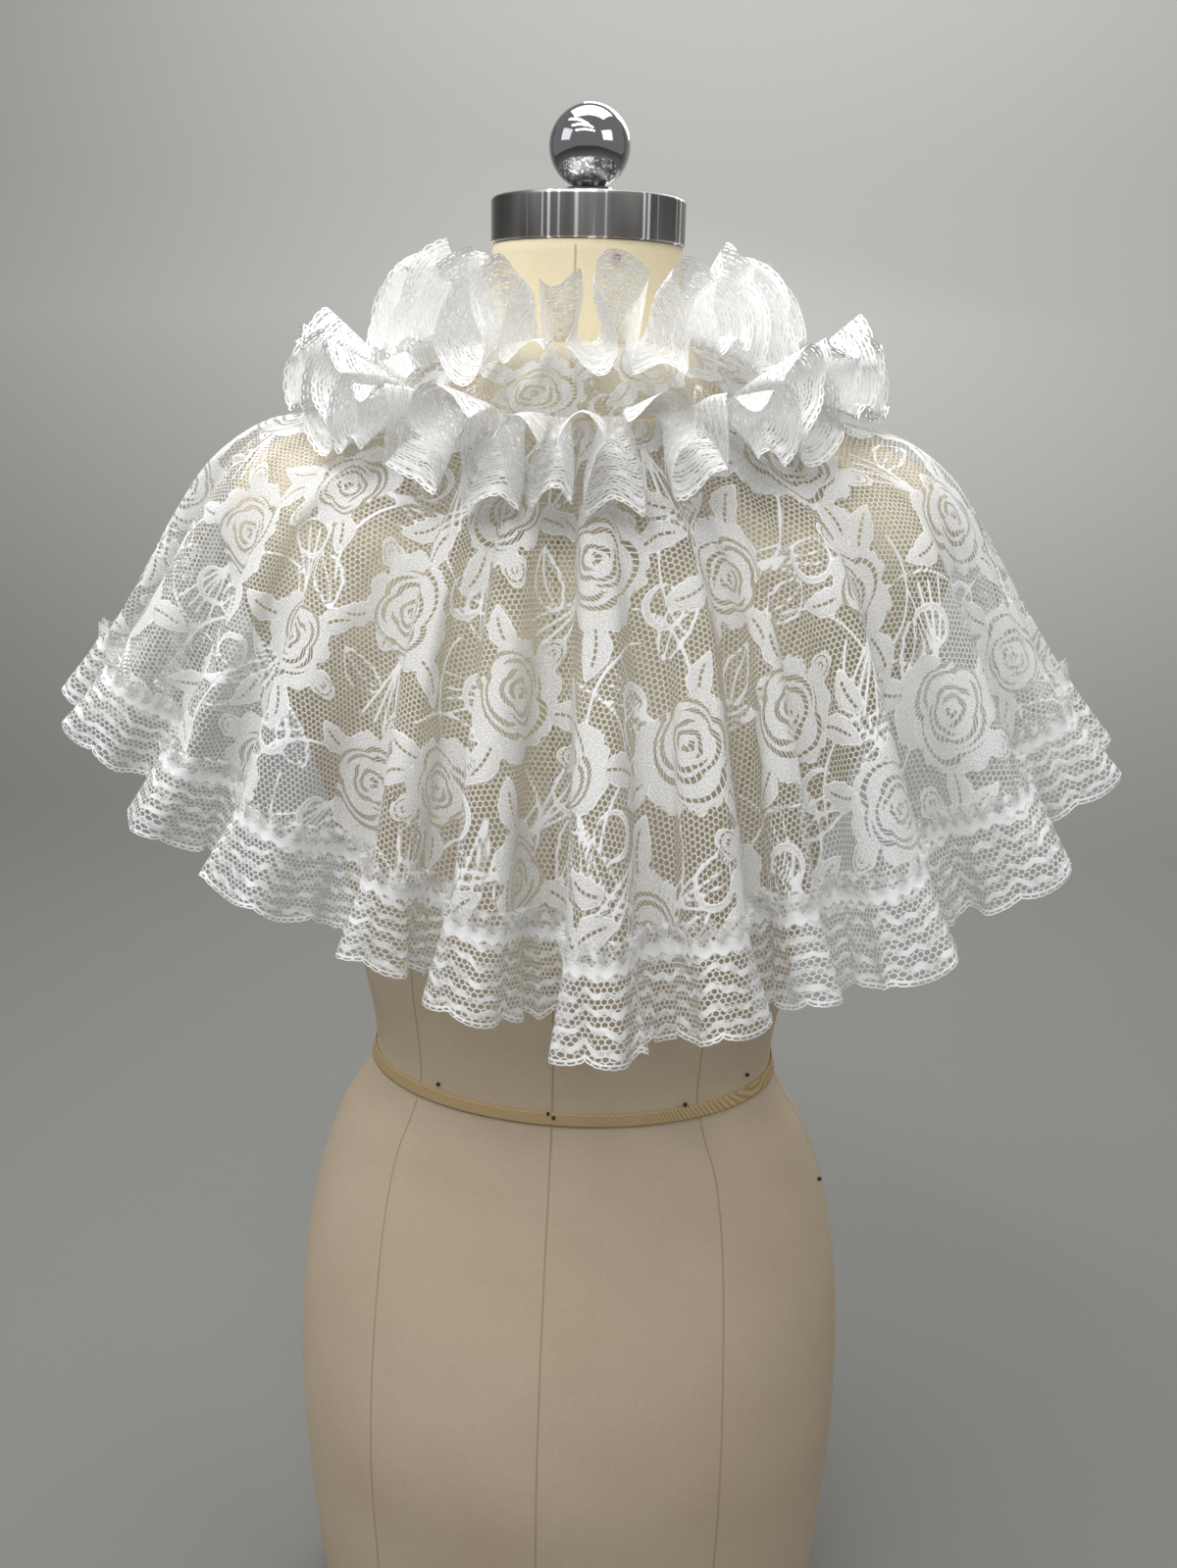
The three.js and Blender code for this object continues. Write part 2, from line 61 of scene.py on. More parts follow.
def make_camera():
    data = bpy.data.cameras.new("camera")
    data.sensor_width = SENSOR_MM
    data.lens = SENSOR_MM * FOCAL_PIXELS / PICTURE_HEIGHT_PIXELS
    data.shift_x = AXIS_LEFT_OF_MIDDLE_PIXELS / PICTURE_HEIGHT_PIXELS
    camera = bpy.data.objects.new("camera", data)
    scene.collection.objects.link(camera)
    azimuth = math.radians(CAMERA["azimuth"])
    place = Vector((math.sin(azimuth), -math.cos(azimuth), 0)) * CAMERA["distance"]
    place.z = CAMERA["height"]
    turn = Matrix.Rotation(azimuth, 4, "Z") @ Matrix.Rotation(math.radians(90 - CAMERA["down"]), 4, "X")
    roll = Matrix.Rotation(math.radians(CAMERA["roll"]), 4, "Z")
    camera.matrix_world = Matrix.Translation(place * MM) @ turn @ roll
    scene.camera = camera


make_camera()

# The same sizes as the solids have

CLOTH = 1.2
FORM_CLEARANCE = 0.7
FRONT_EDGE = 178.4

# Level sections of the dress form: half width, and depth to the front and to the back
FORM = {
    "z": [0, 45, 100, 165, 238, 299, 346, 368, 387, 408, 441, 500, 555, 605, 645, 683, 704, 722, 735, 744,
          751, 758, 769, 782, 800, 837.7],
    "half": [156, 161, 165.5, 168, 165, 155.5, 139.5, 126, 118, 118.5, 125, 135, 148, 168, 187, 199, 196,
             187, 171, 149, 126, 98, 71, 59, 52, 49],
    "front": [101, 104, 107, 108, 104, 98, 91, 87, 85, 87, 95, 113, 130, 121, 99, 81, 72, 65, 61, 59, 57,
              55.5, 54, 52, 50, 49],
    "back": [109, 115, 120, 124, 117, 104, 92, 86, 83, 83, 85, 92, 98, 103, 104, 99, 91, 82, 75, 70, 66, 62,
             58, 55, 51.5, 49],
}
BASE_BOARD_TOP = 8.3
WAIST_TAPE = {"z": 387, "dip": 4, "width": 7, "thickness": 1, "stand_off": 0.4}
CAP = {"bottom": 838, "top": 860.5, "radius": 50, "bevel": 2}
FINIAL = {"base": 860.8, "ring_radius": 12.5, "ring_height": 6, "ball_radius": 20.8, "ball_sink": 1.6}

# How far out the cape lies at its side, back and front, by its share of the cape's length
CAPE_LENGTH = 250
CAPE = {
    "part": [0, 0.08, 0.18, 0.3, 0.44, 0.6, 0.8, 1, 1.17],
    "side": [98, 117, 142, 171, 197, 215, 234, 253, 272],
    "side_z": [763, 754.5, 751, 743, 722, 691, 650, 611, 577],
    "back": [75, 89, 102, 112, 121, 131, 143, 152, 159],
    "back_z": [752, 738, 717, 689, 655, 616, 567, 512, 471],
    "front": [71, 84, 99, 113, 127, 140, 152, 160, 165],
    "front_z": [736, 722, 702, 676, 644, 606, 557, 504, 462],
}

# One column for each hanging fold, from the left front edge round the back to the right front edge
FOLDS = {
    "crest": [-171, -156, -142, -129, -112, -96, -81, -65, -46.5, -32, -17, -6.5,
              7, 20, 29.5, 40.5, 59, 78, 94, 110, 127, 141, 154, 168],
    "out": [13, 20, 15, 19, 15, 14, 18, 17, 17, 16, 10, 17, 34, 20, 8, 24, 20, 14, 14, 17, 16, 21, 16, 18],
    "valley": [-164, -148.5, -136, -121, -103, -89, -75, -53, -41.5, -22, -12.5, 1,
               13.5, 25.5, 33, 48.5, 69, 86, 101, 119, 133.5, 148, 160.5, FRONT_EDGE],
    "sink": [14, 22, 17, 18, 13, 12, 12, 15, 13, 22, 24, 30, 4, 24, 12, 20, 14, 12, 13, 16, 18, 21, 17, 8],
    "start": [0.1, 0.05, 0.2, 0.15, 0.35, 0.3, 0.04, 0.3, 0.3, 0.12, 0.2, 0.08,
              0.02, 0.1, 0.25, 0.12, 0.3, 0.42, 0.45, 0.35, 0.15, 0.1, 0.15, 0.05],
    "lift": [0, 2, 5, 8, 8, 8, 10, 17, 13, 16, 14, 5, -6, -7, -8, -13, -13, -3, 2, 0, 2, 0, -2, 0],
}
FOLD_COUNT = len(FOLDS["crest"])
FRONT_HOLLOW_SINK = 8
FOLD_FLATNESS = 1.25
FOLD_BULGE = 0.16
FOLD_GROWTH = 1.15
LIFT_GROWTH = 1.5
LEFT_SEAM_FOLD = 6
RIGHT_SEAM_FOLD = 18
SEAM_TRIM = 0.011

HEM_STRIP = {"heading": 12, "drop": 42, "offset": 2, "heading_lift": 3.9, "flare": 3}
COLLAR_SEAM = {"half": 63, "back": 61, "front": 60, "z": 787}
COLLAR = {"gathers": 26, "depth": 2.2, "bulge": 5, "seam_rise": 1.7}

# The thin lace bulges more than the solids, by sway_gain
NECK_RUFFLE_TOP = {
    "width": 49, "waves": 20, "swing": 38, "back_swing": 26, "sway": 4.2, "sway_gain": 1.8,
    "side": 37, "back": 21, "front": 28, "curl": 14, "wander": 1.5, "wander_turns": 5,
    "unevenness": 0.25, "stand_off": 0.6, "rise": 2,
}
NECK_RUFFLE_BASE = {
    "width": 57, "waves": 25, "swing": 21, "back_swing": 21, "sway": 5.2, "sway_gain": 1.6,
    "side": 20, "back": -16, "front": -10, "curl": 12, "wander": 1.8, "wander_turns": 7,
    "unevenness": 0.25, "stand_off": 1.7, "rise": 2.1,
}
UNEVEN_TURN = 2.4


# Shape functions, for many points at once

def along(table, key, name, at):
    """Smooth curve through a table's rows, read at the places given."""
    places = np.asarray(table[key], float)
    values = np.asarray(table[name], float)
    rows = np.arange(len(places))
    before = np.maximum(rows - 1, 0)
    after = np.minimum(rows + 1, rows[-1])
    slopes = (values[after] - values[before]) / (places[after] - places[before])
    end = np.clip(np.searchsorted(places, at, side="right"), 1, rows[-1])
    span = places[end] - places[end - 1]
    share = np.clip((at - places[end - 1]) / span, 0, 1)
    square = share * share
    cube = square * share
    return ((2 * cube - 3 * square + 1) * values[end - 1]
            + (cube - 2 * square + share) * span * slopes[end - 1]
            + (3 * square - 2 * cube) * values[end]
            + (cube - square) * span * slopes[end])


def mix(start, end, share):
    return start + (end - start) * share


def smooth(share):
    share = np.clip(share, 0, 1)
    return share * share * (3 - 2 * share)


def unit(vectors):
    return vectors / np.linalg.norm(vectors, axis=1, keepdims=True)


def form_value(points):
    """Below 0 inside the form, 0 on its surface."""
    half, front, back = (along(FORM, "z", name, points[:, 2]) for name in ("half", "front", "back"))
    depth = np.where(points[:, 1] > 0, front, back)
    return np.hypot(points[:, 0] / half, points[:, 1] / depth) - 1


def laid_on_form(points, clearance=CLOTH / 2 + FORM_CLEARANCE):
    """Cloth that would sink into the form is laid on it instead."""
    step = 0.5
    for _ in range(6):
        slope = np.stack([
            form_value(points + offset) - form_value(points - offset) for offset in np.eye(3) * step
        ], axis=1) / (2 * step)
        steepness = np.linalg.norm(slope, axis=1)
        distance = form_value(points) / steepness
        short = np.where(distance < clearance, clearance - distance + 0.02, 0)
        points = points + slope / steepness[:, None] * short[:, None]
    return points


def oval_point(bearing, half, back, front):
    turn = np.radians(bearing)
    reach = np.where(np.cos(turn) > 0, back, front)
    return half * np.sin(turn), -reach * np.cos(turn)


def blend_by_side(bearing, side, back, front):
    turn = np.radians(bearing)
    end = np.where(np.cos(turn) > 0, back, front)
    return mix(end, side, np.sin(turn) ** 2)


def cape_base(bearing, part):
    side, back, front, side_z, back_z, front_z = (
        along(CAPE, "part", name, part)
        for name in ("side", "back", "front", "side_z", "back_z", "front_z"))
    x, y = oval_point(bearing, side, back, front)
    return np.stack([x, y, blend_by_side(bearing, side_z, back_z, front_z)], axis=1)


def fold_at(number):
    """How a fold number lies: 3.5 is the ridge of fold 3 and 4 is the hollow after it."""
    index = np.minimum(np.floor(number).astype(int), FOLD_COUNT - 1)
    phase = 2 * np.pi * (number - index) - np.pi
    column = {name: np.asarray(values, float) for name, values in FOLDS.items()}
    valleys = np.concatenate([[-FRONT_EDGE], column["valley"]])
    sinks = np.concatenate([[FRONT_HOLLOW_SINK], column["sink"]])
    hollow = np.where(phase < 0, index, index + 1)
    neighbour = np.clip(index + np.sign(phase).astype(int), 0, FOLD_COUNT - 1)
    share = np.abs(phase) / (2 * np.pi)
    wave = np.tanh(FOLD_FLATNESS * np.cos(phase)) / np.tanh(FOLD_FLATNESS)
    height = (column["out"][index] + sinks[hollow]) / 2
    return {
        "bearing": mix(column["crest"][index], valleys[hollow], 2 * share),
        "out": height * wave + (column["out"][index] - sinks[hollow]) / 2,
        "sway": FOLD_BULGE * height * np.sin(2 * phase),
        "start": mix(column["start"][index], column["start"][neighbour], share),
        "lift": mix(column["lift"][index], column["lift"][neighbour], share),
    }


def cape_point(number, part):
    fold = fold_at(number)
    bearing = fold["bearing"]
    across = unit(cape_base(bearing + 0.5, part) - cape_base(bearing - 0.5, part))
    down = unit(cape_base(bearing, part + 0.01) - cape_base(bearing, part - 0.01))
    outward = unit(np.cross(down, across))
    outward = np.where(outward[:, 2:] < 0, -outward, outward)
    size = (np.maximum(part - fold["start"], 0) / (1 - fold["start"])) ** FOLD_GROWTH
    points = cape_base(bearing, part) + outward * (fold["out"] * size)[:, None]
    points += across * (fold["sway"] * size)[:, None]
    points[:, 2] += fold["lift"] * np.maximum(part, 0) ** LIFT_GROWTH
    return laid_on_form(points)


def cape_normal(number, part):
    across = (cape_point(np.minimum(number + 0.03, FOLD_COUNT), part)
              - cape_point(np.maximum(number - 0.03, 0), part))
    down = cape_point(number, part + 0.01) - cape_point(number, np.maximum(part - 0.01, 0))
    return unit(np.cross(down, across))


def neck_seam_point(bearing):
    return cape_base(bearing, np.zeros_like(bearing))


def collar_seam_point(bearing):
    x, y = oval_point(bearing, COLLAR_SEAM["half"], COLLAR_SEAM["back"], COLLAR_SEAM["front"])
    return np.stack([x, y, np.full_like(bearing, COLLAR_SEAM["z"])], axis=1)


def plan_outward(seam_point, bearing):
    across = seam_point(bearing + 0.5) - seam_point(bearing - 0.5)
    return unit(np.stack([across[:, 1], -across[:, 0], np.zeros_like(bearing)], axis=1))


def lengths_along(points):
    steps = np.linalg.norm(np.diff(points, axis=0), axis=1)
    return np.concatenate([[0], np.cumsum(steps)])


# How the cape was cut: part of a ring, opened out flat. Its inner edge is the neck seam. The ring's
# spread comes from the folded cloth's length near the hem, with a little fullness.
MEASURED_PART = 0.9
FULLNESS = 1.06
fold_numbers = np.linspace(0, FOLD_COUNT, FOLD_COUNT * 60 + 1)
hem_lengths = lengths_along(cape_point(fold_numbers, np.full_like(fold_numbers, MEASURED_PART)))
neck_length = lengths_along(cape_point(fold_numbers, np.zeros_like(fold_numbers)))[-1]
cut_spread = (hem_lengths[-1] * FULLNESS - neck_length) / (CAPE_LENGTH * MEASURED_PART)
CUT_INNER = neck_length / cut_spread


def cut_turn(number):
    """Where a fold lies on the flat cut, as an angle from the centre back."""
    return cut_spread * (np.interp(number, fold_numbers, hem_lengths) / hem_lengths[-1] - 0.5)


def fold_number(turn):
    return np.interp((turn / cut_spread + 0.5) * hem_lengths[-1], hem_lengths, fold_numbers)


# The lace pattern, a repeat of common roses, leaves, buds and loops, charted in millimetres.
# Each motif gives, at points on it, its edge (below 0 inside), and for its openwork slits a ring
# number, a place along the slit counted in bars, and the slit's half width as a share of a ring,
# or zeros where it has no slits.

REPEAT = {"width": 150, "height": 178}
BAR_PITCH = 3.1
FAR_OUTSIDE = 9


def rose(x, y, size):
    angle = np.arctan2(y, x)
    scallops = 0.76 + 0.22 * np.abs(np.cos(2.5 * angle + 0.7 * np.sin(angle))) ** 0.6
    scallops += 0.07 * np.abs(np.sin(6.5 * angle + 2 * np.sin(angle))) - 0.08 * np.cos(2 * angle + 0.4)
    edge = 0.85 * (np.hypot(x, y) - size * scallops)
    eye_x = x + 0.12 * size
    eye_y = y - 0.1 * size
    reach = np.hypot(eye_x, 1.15 * eye_y)
    turn = np.arctan2(eye_y, eye_x)
    petals = 1 + 0.22 * np.abs(np.cos(2 * turn - 0.12 * reach)) ** 0.8
    ring = reach / (0.13 * size * petals)
    wide = np.clip(3 * (np.cos(turn - 2.3 * np.floor(ring)) + 0.62), 0, 1) * (ring < 6)
    return edge, ring, turn * reach / BAR_PITCH, 0.28 * wide


def leaf_edge(x, y, size):
    share = np.clip(x / size, 0, 1)
    middle = 0.1 * size * np.sin(np.pi * share)
    half = 0.25 * size * np.sin(np.pi * share ** 0.8) ** 0.9 * (1 + 0.12 * np.abs(np.sin(13 * share)))
    return np.maximum(np.abs(y - middle) - half, np.maximum(-x, x - size)), y - middle, share


def leaf(x, y, size):
    edge, off_vein, share = leaf_edge(x, y, size)
    ring = 0.5 + np.clip(off_vein / 5, -0.45, 0.45)
    return edge, ring, x / BAR_PITCH, np.where((share > 0.12) & (share < 0.74), 0.15, 0)


def open_leaf(x, y, size):
    edge, off_vein, share = leaf_edge(x, y, size)
    vein = np.maximum(np.abs(off_vein) - 0.55, np.maximum(-x, x - size))
    return np.minimum(np.abs(edge + 0.9) - 0.8, vein), 0, 0, 0


def bud(x, y, size):
    angle = np.arctan2(y, x - size)
    reach = np.hypot(x - size, y * 1.35)
    edge = reach - size * (0.74 + 0.26 * np.abs(np.cos(1.5 * angle)) ** 1.5)
    return edge, reach / (0.42 * size), angle * reach / BAR_PITCH, np.where(np.abs(angle) < 2, 0.14, 0)


def loop(x, y, size):
    outer = np.hypot(x, y) - size
    inner = 0.82 * size - np.hypot(x - 0.13 * size, y)
    return np.maximum(outer, inner), 0, 0, 0


def stem(x, y, size):
    share = np.clip(x / size, 0, 1)
    edge = np.abs(y - 0.7 * size * share * (1 - share)) - 0.72
    return np.maximum(edge, np.maximum(-x, x - size)), 0, 0, 0


def fan(x, y, size):
    lines = [np.abs(y - slope * x) - 0.62 for slope in (-0.26, -0.05, 0.1, 0.3)]
    return np.maximum(np.minimum.reduce(lines), np.maximum(-x, x - size)), 0, 0, 0


# Each rose's place in the repeat, the way it is turned and its size
ROSES = [(34, 36, 10, 30), (108, 64, 200, 27), (30, 122, 100, 26), (112, 148, 320, 30)]

# Each motif round a rose: its way, its start as a share of the rose's size, and its own size
ROUND_A_ROSE = [(leaf, 25, 0.82, 27), (leaf, 140, 0.8, 24), (leaf, 262, 0.84, 29), (fan, 205, 0.9, 38),
                (stem, 320, 0.85, 54), (bud, 80, 0.86, 9)]

# Each motif between the roses: its root's place, the way it points and its size
BETWEEN_ROSES = [
    (loop, 74, 28, 40, 11), (loop, 66, 98, 200, 10.5), (loop, 148, 104, 120, 11), (loop, 70, 158, 300, 11),
    (open_leaf, 80, 4, 70, 33), (open_leaf, 150, 92, 250, 34), (open_leaf, 62, 150, 320, 30),
    (open_leaf, 142, 12, 100, 32), (stem, 60, 90, 60, 60), (stem, 130, 98, 200, 66), (stem, 0, 72, 20, 58),
    (bud, 84, 112, 130, 9.5), (leaf, 66, 74, 170, 24), (leaf, 154, 30, 20, 25), (fan, 84, 96, 250, 34),
    (stem, 20, 158, 330, 56), (stem, 90, 20, 120, 50),
]


def motifs():
    for x, y, turn, size in ROSES:
        for kind, way, start, own_size in ROUND_A_ROSE:
            angle = math.radians(turn + way)
            reach = start * size
            yield kind, x + reach * math.cos(angle), y + reach * math.sin(angle), turn + way, own_size
    for kind, x, y, turn, size in BETWEEN_ROSES:
        yield kind, x, y, turn, size
    for x, y, turn, size in ROSES:
        yield rose, x, y, turn, size


def lace_pattern(x, y):
    """The pattern's fields at points of the flat cloth."""
    fields = {name: np.zeros(len(x)) for name in ("edge", "ring", "bar", "slit")}
    edge = fields["edge"]
    edge += FAR_OUTSIDE
    width, height = REPEAT["width"], REPEAT["height"]
    for kind, at_x, at_y, turn, size in motifs():
        off_x = (x - at_x + width / 2) % width - width / 2
        off_y = (y - at_y + height / 2) % height - height / 2
        near = np.flatnonzero(np.hypot(off_x, off_y) < 1.4 * size + 6)
        angle = math.radians(turn)
        own_x = off_x[near] * math.cos(angle) + off_y[near] * math.sin(angle)
        own_y = off_y[near] * math.cos(angle) - off_x[near] * math.sin(angle)
        own = np.array(np.broadcast_arrays(*kind(own_x, own_y, size)))
        if kind is rose:
            ahead = own[0] < 0.2
            inside_outline = np.hypot(own_x, own_y) < 0.6 * size
            own[0] = np.where(inside_outline, own[0], np.minimum(own[0], edge[near]))
            ahead |= inside_outline
        else:
            ahead = own[0] < edge[near]
        for field, values in zip(fields.values(), own):
            field[near[ahead]] = values[ahead]
    return fields


# Small tools

def linear(code):
    """An sRGB hex value as linear colour."""
    values = [int(code[place:place + 2], 16) / 255 for place in (0, 2, 4)]
    return [v / 12.92 if v <= 0.04045 else ((v + 0.055) / 1.055) ** 2.4 for v in values] + [1]


def fill(tree, node, values):
    """Fills a node's sockets. A value is a constant, a hex colour or another node's output."""
    for socket, value in values.items():
        if isinstance(value, bpy.types.NodeSocket):
            tree.links.new(value, node.inputs[socket])
        else:
            node.inputs[socket].default_value = linear(value) if isinstance(value, str) else value


def add(tree, kind, *values, output=0, inputs=(), **settings):
    """Adds a shader node and returns one of its outputs. kind may be followed by an operation.
    values fill its sockets in order, and inputs fills them by name."""
    kind, _, operation = kind.partition(" ")
    made = tree.nodes.new("ShaderNode" + kind)
    if operation:
        made.operation = operation
    for name, value in settings.items():
        setattr(made, name, value)
    fill(tree, made, {**dict(enumerate(values)), **dict(inputs)})
    return made.outputs[output]


def new_material(name):
    """A material with only its Principled shader, which is returned with its node tree."""
    material = bpy.data.materials.new(name)
    material.use_nodes = True
    return material, material.node_tree, material.node_tree.nodes["Principled BSDF"]


def new_mesh(name, bm):
    mesh = bpy.data.meshes.new(name)
    bm.to_mesh(mesh)
    bm.free()
    return mesh


def finish_piece(name, mesh, material, nodes=()):
    piece = bpy.data.objects.new(name, mesh)
    scene.collection.objects.link(piece)
    mesh.materials.append(material)
    mesh.shade_smooth()
    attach(piece, "root")
    if nodes:
        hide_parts(*nodes)
    return piece


def grid_mesh(name, columns, rows):
    """A grid of quads, with the shares across it and up it at which each point lies, 0 to 1."""
    bm = bmesh.new()
    bmesh.ops.create_grid(bm, x_segments=columns, y_segments=rows, size=0.5)
    mesh = new_mesh(name, bm)
    places = np.empty(len(mesh.vertices) * 3)
    mesh.vertices.foreach_get("co", places)
    across, up, _ = np.clip(places.reshape(-1, 3) + 0.5, 0, 1).T
    return mesh, across, up


def set_points(mesh, points):
    mesh.vertices.foreach_set("co", (points * MM).astype(np.float32).ravel())
    mesh.update()


def grid_shape(name, columns, rows, place, closed=False):
    """A grid laid on a shape. place is given each point's shares and returns millimetres."""
    mesh, across, up = grid_mesh(name, columns, rows)
    set_points(mesh, place(across, up))
    if closed:
        bm = bmesh.new()
        bm.from_mesh(mesh)
        bmesh.ops.remove_doubles(bm, verts=bm.verts, dist=0.01 * MM)
        bmesh.ops.holes_fill(bm, edges=bm.edges)
        bmesh.ops.recalc_face_normals(bm, faces=bm.faces)
        bm.to_mesh(mesh)
        bm.free()
    return mesh


def set_uv(mesh, x, y):
    """A UV map of the flat cloth, in metres."""
    corners = np.empty(len(mesh.loops), int)
    mesh.loops.foreach_get("vertex_index", corners)
    flat = np.stack([x[corners], y[corners]], axis=1) * MM
    mesh.uv_layers.new(name="flat_cloth").data.foreach_set("uv", flat.astype(np.float32).ravel())


def set_fields(mesh, fields):
    for name, values in fields.items():
        mesh.attributes.new(name, "FLOAT", "POINT").data.foreach_set("value", values.astype(np.float32))


def lace_shape(name, columns, rows, cloth):
    """A grid of lace. cloth returns its points, their places on the flat cloth and its fields."""
    mesh, across, up = grid_mesh(name, columns, rows)
    points, flat, fields = cloth(across, up)
    set_points(mesh, points)
    set_uv(mesh, *flat)
    set_fields(mesh, fields)
    return mesh


def turned(name, profile, segments=128):
    """A shape turned about the upright axis. profile is a list of radii and heights, from axis to axis."""
    bm = bmesh.new()
    points = [bm.verts.new((radius * MM, 0, z * MM)) for radius, z in profile]
    edges = [bm.edges.new(pair) for pair in zip(points, points[1:])]
    bmesh.ops.spin(bm, geom=points + edges, cent=(0, 0, 0), axis=(0, 0, 1), angle=2 * math.pi,
                   steps=segments, use_merge=True)
    bmesh.ops.remove_doubles(bm, verts=bm.verts, dist=0.005 * MM)
    bmesh.ops.recalc_face_normals(bm, faces=bm.faces)
    return new_mesh(name, bm)


# Lace materials

NET_PITCH = 2.9


def net_threads(tree, thread):
    """Six-sided net on the flat cloth: 1 on a thread, 0 in a hole. The real net has 1.9 mm holes;
    it is drawn a little coarser so that the holes show. thread is its width in millimetres."""
    flat = add(tree, "UVMap", uv_map="flat_cloth")
    cells = add(tree, "VectorMath SCALE", flat, inputs={"Scale": 1 / (NET_PITCH * MM)})
    tall = math.sqrt(3)
    offsets = []

    # Two sets of cells, half a cell apart, both shifted far enough to have no negative place
    for shift in (400, 400.5):
        moved = add(tree, "VectorMath ADD", cells, (shift, shift * tall, 0))
        wrapped = add(tree, "VectorMath MODULO", moved, (1, tall, 1))
        centred = add(tree, "VectorMath SUBTRACT", wrapped, (0.5, tall / 2, 0))
        sideways = add(tree, "VectorMath ABSOLUTE", centred)
        slanted = add(tree, "VectorMath DOT_PRODUCT", sideways, (0.5, tall / 2, 0), output="Value")
        upright = add(tree, "SeparateXYZ", sideways)
        offsets.append(add(tree, "Math MAXIMUM", slanted, upright))
    nearest = add(tree, "Math MINIMUM", *offsets)
    return add(tree, "MapRange", nearest, 0.5 - 1.1 * thread / NET_PITCH, 0.5 - 0.4 * thread / NET_PITCH,
               interpolation_type="SMOOTHSTEP")


def line_mask(tree, ring, half_width):
    """1 on the lines where a ring number passes a half, 0 between them."""
    place = add(tree, "Math FRACT", add(tree, "Math ADD", ring, 100.0))
    off = add(tree, "Math ABSOLUTE", add(tree, "Math SUBTRACT", place, 0.5))
    return add(tree, "Math LESS_THAN", off, half_width)


def lace_shader(tree, shader, cover, relief):
    """White thread that covers its share of the surface, with the rest left open."""
    # Painted highlight: raised thread is tinted lighter than the flat thread
    tint = add(tree, "Mix", relief, data_type="RGBA", output=2, inputs={6: "f0f0ee", 7: "fdfdfc"})
    bump = add(tree, "Bump", inputs={"Strength": 0.5, "Distance": 0.4 * MM, "Height": relief})
    fill(tree, shader, {
        "Base Color": tint, "Roughness": 0.72, "Specular IOR Level": 0.35, "Alpha": cover, "Normal": bump,
    })


def make_rose_lace():
    """Machine-made rose lace, polyester on a six-sided net: dense matte flowers with ladder-like
    slits, on a sheer ground that lets what lies under it show."""
    material, tree, shader = new_material("rose_lace_polyester")
    edge, ring, bar, slit = (
        add(tree, "Attribute", attribute_name=name, output="Fac")
        for name in ("edge", "ring", "bar", "slit"))
    dense = add(tree, "MapRange", edge, 0.45, -0.1, interpolation_type="SMOOTHSTEP")
    off_outline = add(tree, "Math ABSOLUTE", add(tree, "Math ADD", edge, 0.3))
    outline = add(tree, "MapRange", off_outline, 0.9, 0.2)
    slits = add(tree, "Math MULTIPLY", line_mask(tree, ring, slit), line_mask(tree, bar, 0.37))
    flat = add(tree, "UVMap", uv_map="flat_cloth")
    weave = add(tree, "TexNoise", flat, inputs={"Scale": 1 / (0.9 * MM), "Detail": 1.0})
    body = add(tree, "MapRange", weave, 0.35, 0.62, 0.66, 0.95)
    body = add(tree, "Math MAXIMUM", body, outline)
    closed = add(tree, "Math SUBTRACT", 1.0, slits)
    flowers = add(tree, "Math MULTIPLY", dense, body)
    flowers = add(tree, "Math MULTIPLY", flowers, closed)
    net = add(tree, "Math MULTIPLY_ADD", net_threads(tree, 0.42), 0.78, 0.0)
    kept = add(tree, "Math MULTIPLY_ADD", slits, -0.85, 1.0)
    ground = add(tree, "Math MULTIPLY", net, kept)
    cover = add(tree, "Math MAXIMUM", ground, flowers)
    raised_thread = add(tree, "Math MAXIMUM", weave, outline)
    relief = add(tree, "Math MULTIPLY", dense, add(tree, "MapRange", raised_thread, 0.2, 0.9))
    lace_shader(tree, shader, cover, relief)
    return material


def make_trim_lace():
    """Narrow edging lace, polyester: wavy bands of thread over an open net, a dense band at its sewn
    line, and a corded scalloped edge with a row of tiny loops."""
    material, tree, shader = new_material("scalloped_edging_lace_polyester")
    edge, band, thread, heading, picot = (
        add(tree, "Attribute", attribute_name=name, output="Fac")
        for name in ("edge", "band", "thread", "heading", "picot"))
    flat = add(tree, "UVMap", uv_map="flat_cloth")
    patches = add(tree, "TexNoise", flat, inputs={"Scale": 1 / (7 * MM), "Detail": 1.0})
    strength = add(tree, "MapRange", patches, 0.35, 0.6, 0.4, 0.92)
    wavy = add(tree, "Math MULTIPLY", line_mask(tree, band, 0.19), strength)
    fine = add(tree, "Math MULTIPLY", line_mask(tree, thread, 0.27), 0.8)
    sewn = add(tree, "MapRange", heading, 0.6, -1.2, 0, 1, interpolation_type="SMOOTHSTEP")
    threads = add(tree, "Math MAXIMUM", wavy, fine)
    threads = add(tree, "Math MAXIMUM", threads, sewn)
    net = add(tree, "Math MULTIPLY_ADD", net_threads(tree, 0.45), 0.8, 0.02)
    inside = add(tree, "Math GREATER_THAN", edge, 0.0)
    ground = add(tree, "Math MAXIMUM", net, threads)
    ground = add(tree, "Math MULTIPLY", ground, inside)
    cord = add(tree, "MapRange", add(tree, "Math ABSOLUTE", edge), 0.9, 0.5)
    across = add(tree, "Math POWER", picot, 2.0)
    below = add(tree, "Math ADD", edge, 0.7)
    reach = add(tree, "Math MULTIPLY_ADD", below, below, across)
    reach = add(tree, "Math SQRT", reach)
    loops = add(tree, "Math COMPARE", reach, 1.35, 0.45)
    outside = add(tree, "Math LESS_THAN", edge, 0.2)
    loops = add(tree, "Math MULTIPLY", loops, outside)
    cords = add(tree, "Math MAXIMUM", cord, loops)
    cover = add(tree, "Math MAXIMUM", ground, cords)
    relief = add(tree, "Math MAXIMUM", threads, cords)
    lace_shader(tree, shader, cover, relief)
    return material


MOTIF_RELIEF = 0.35


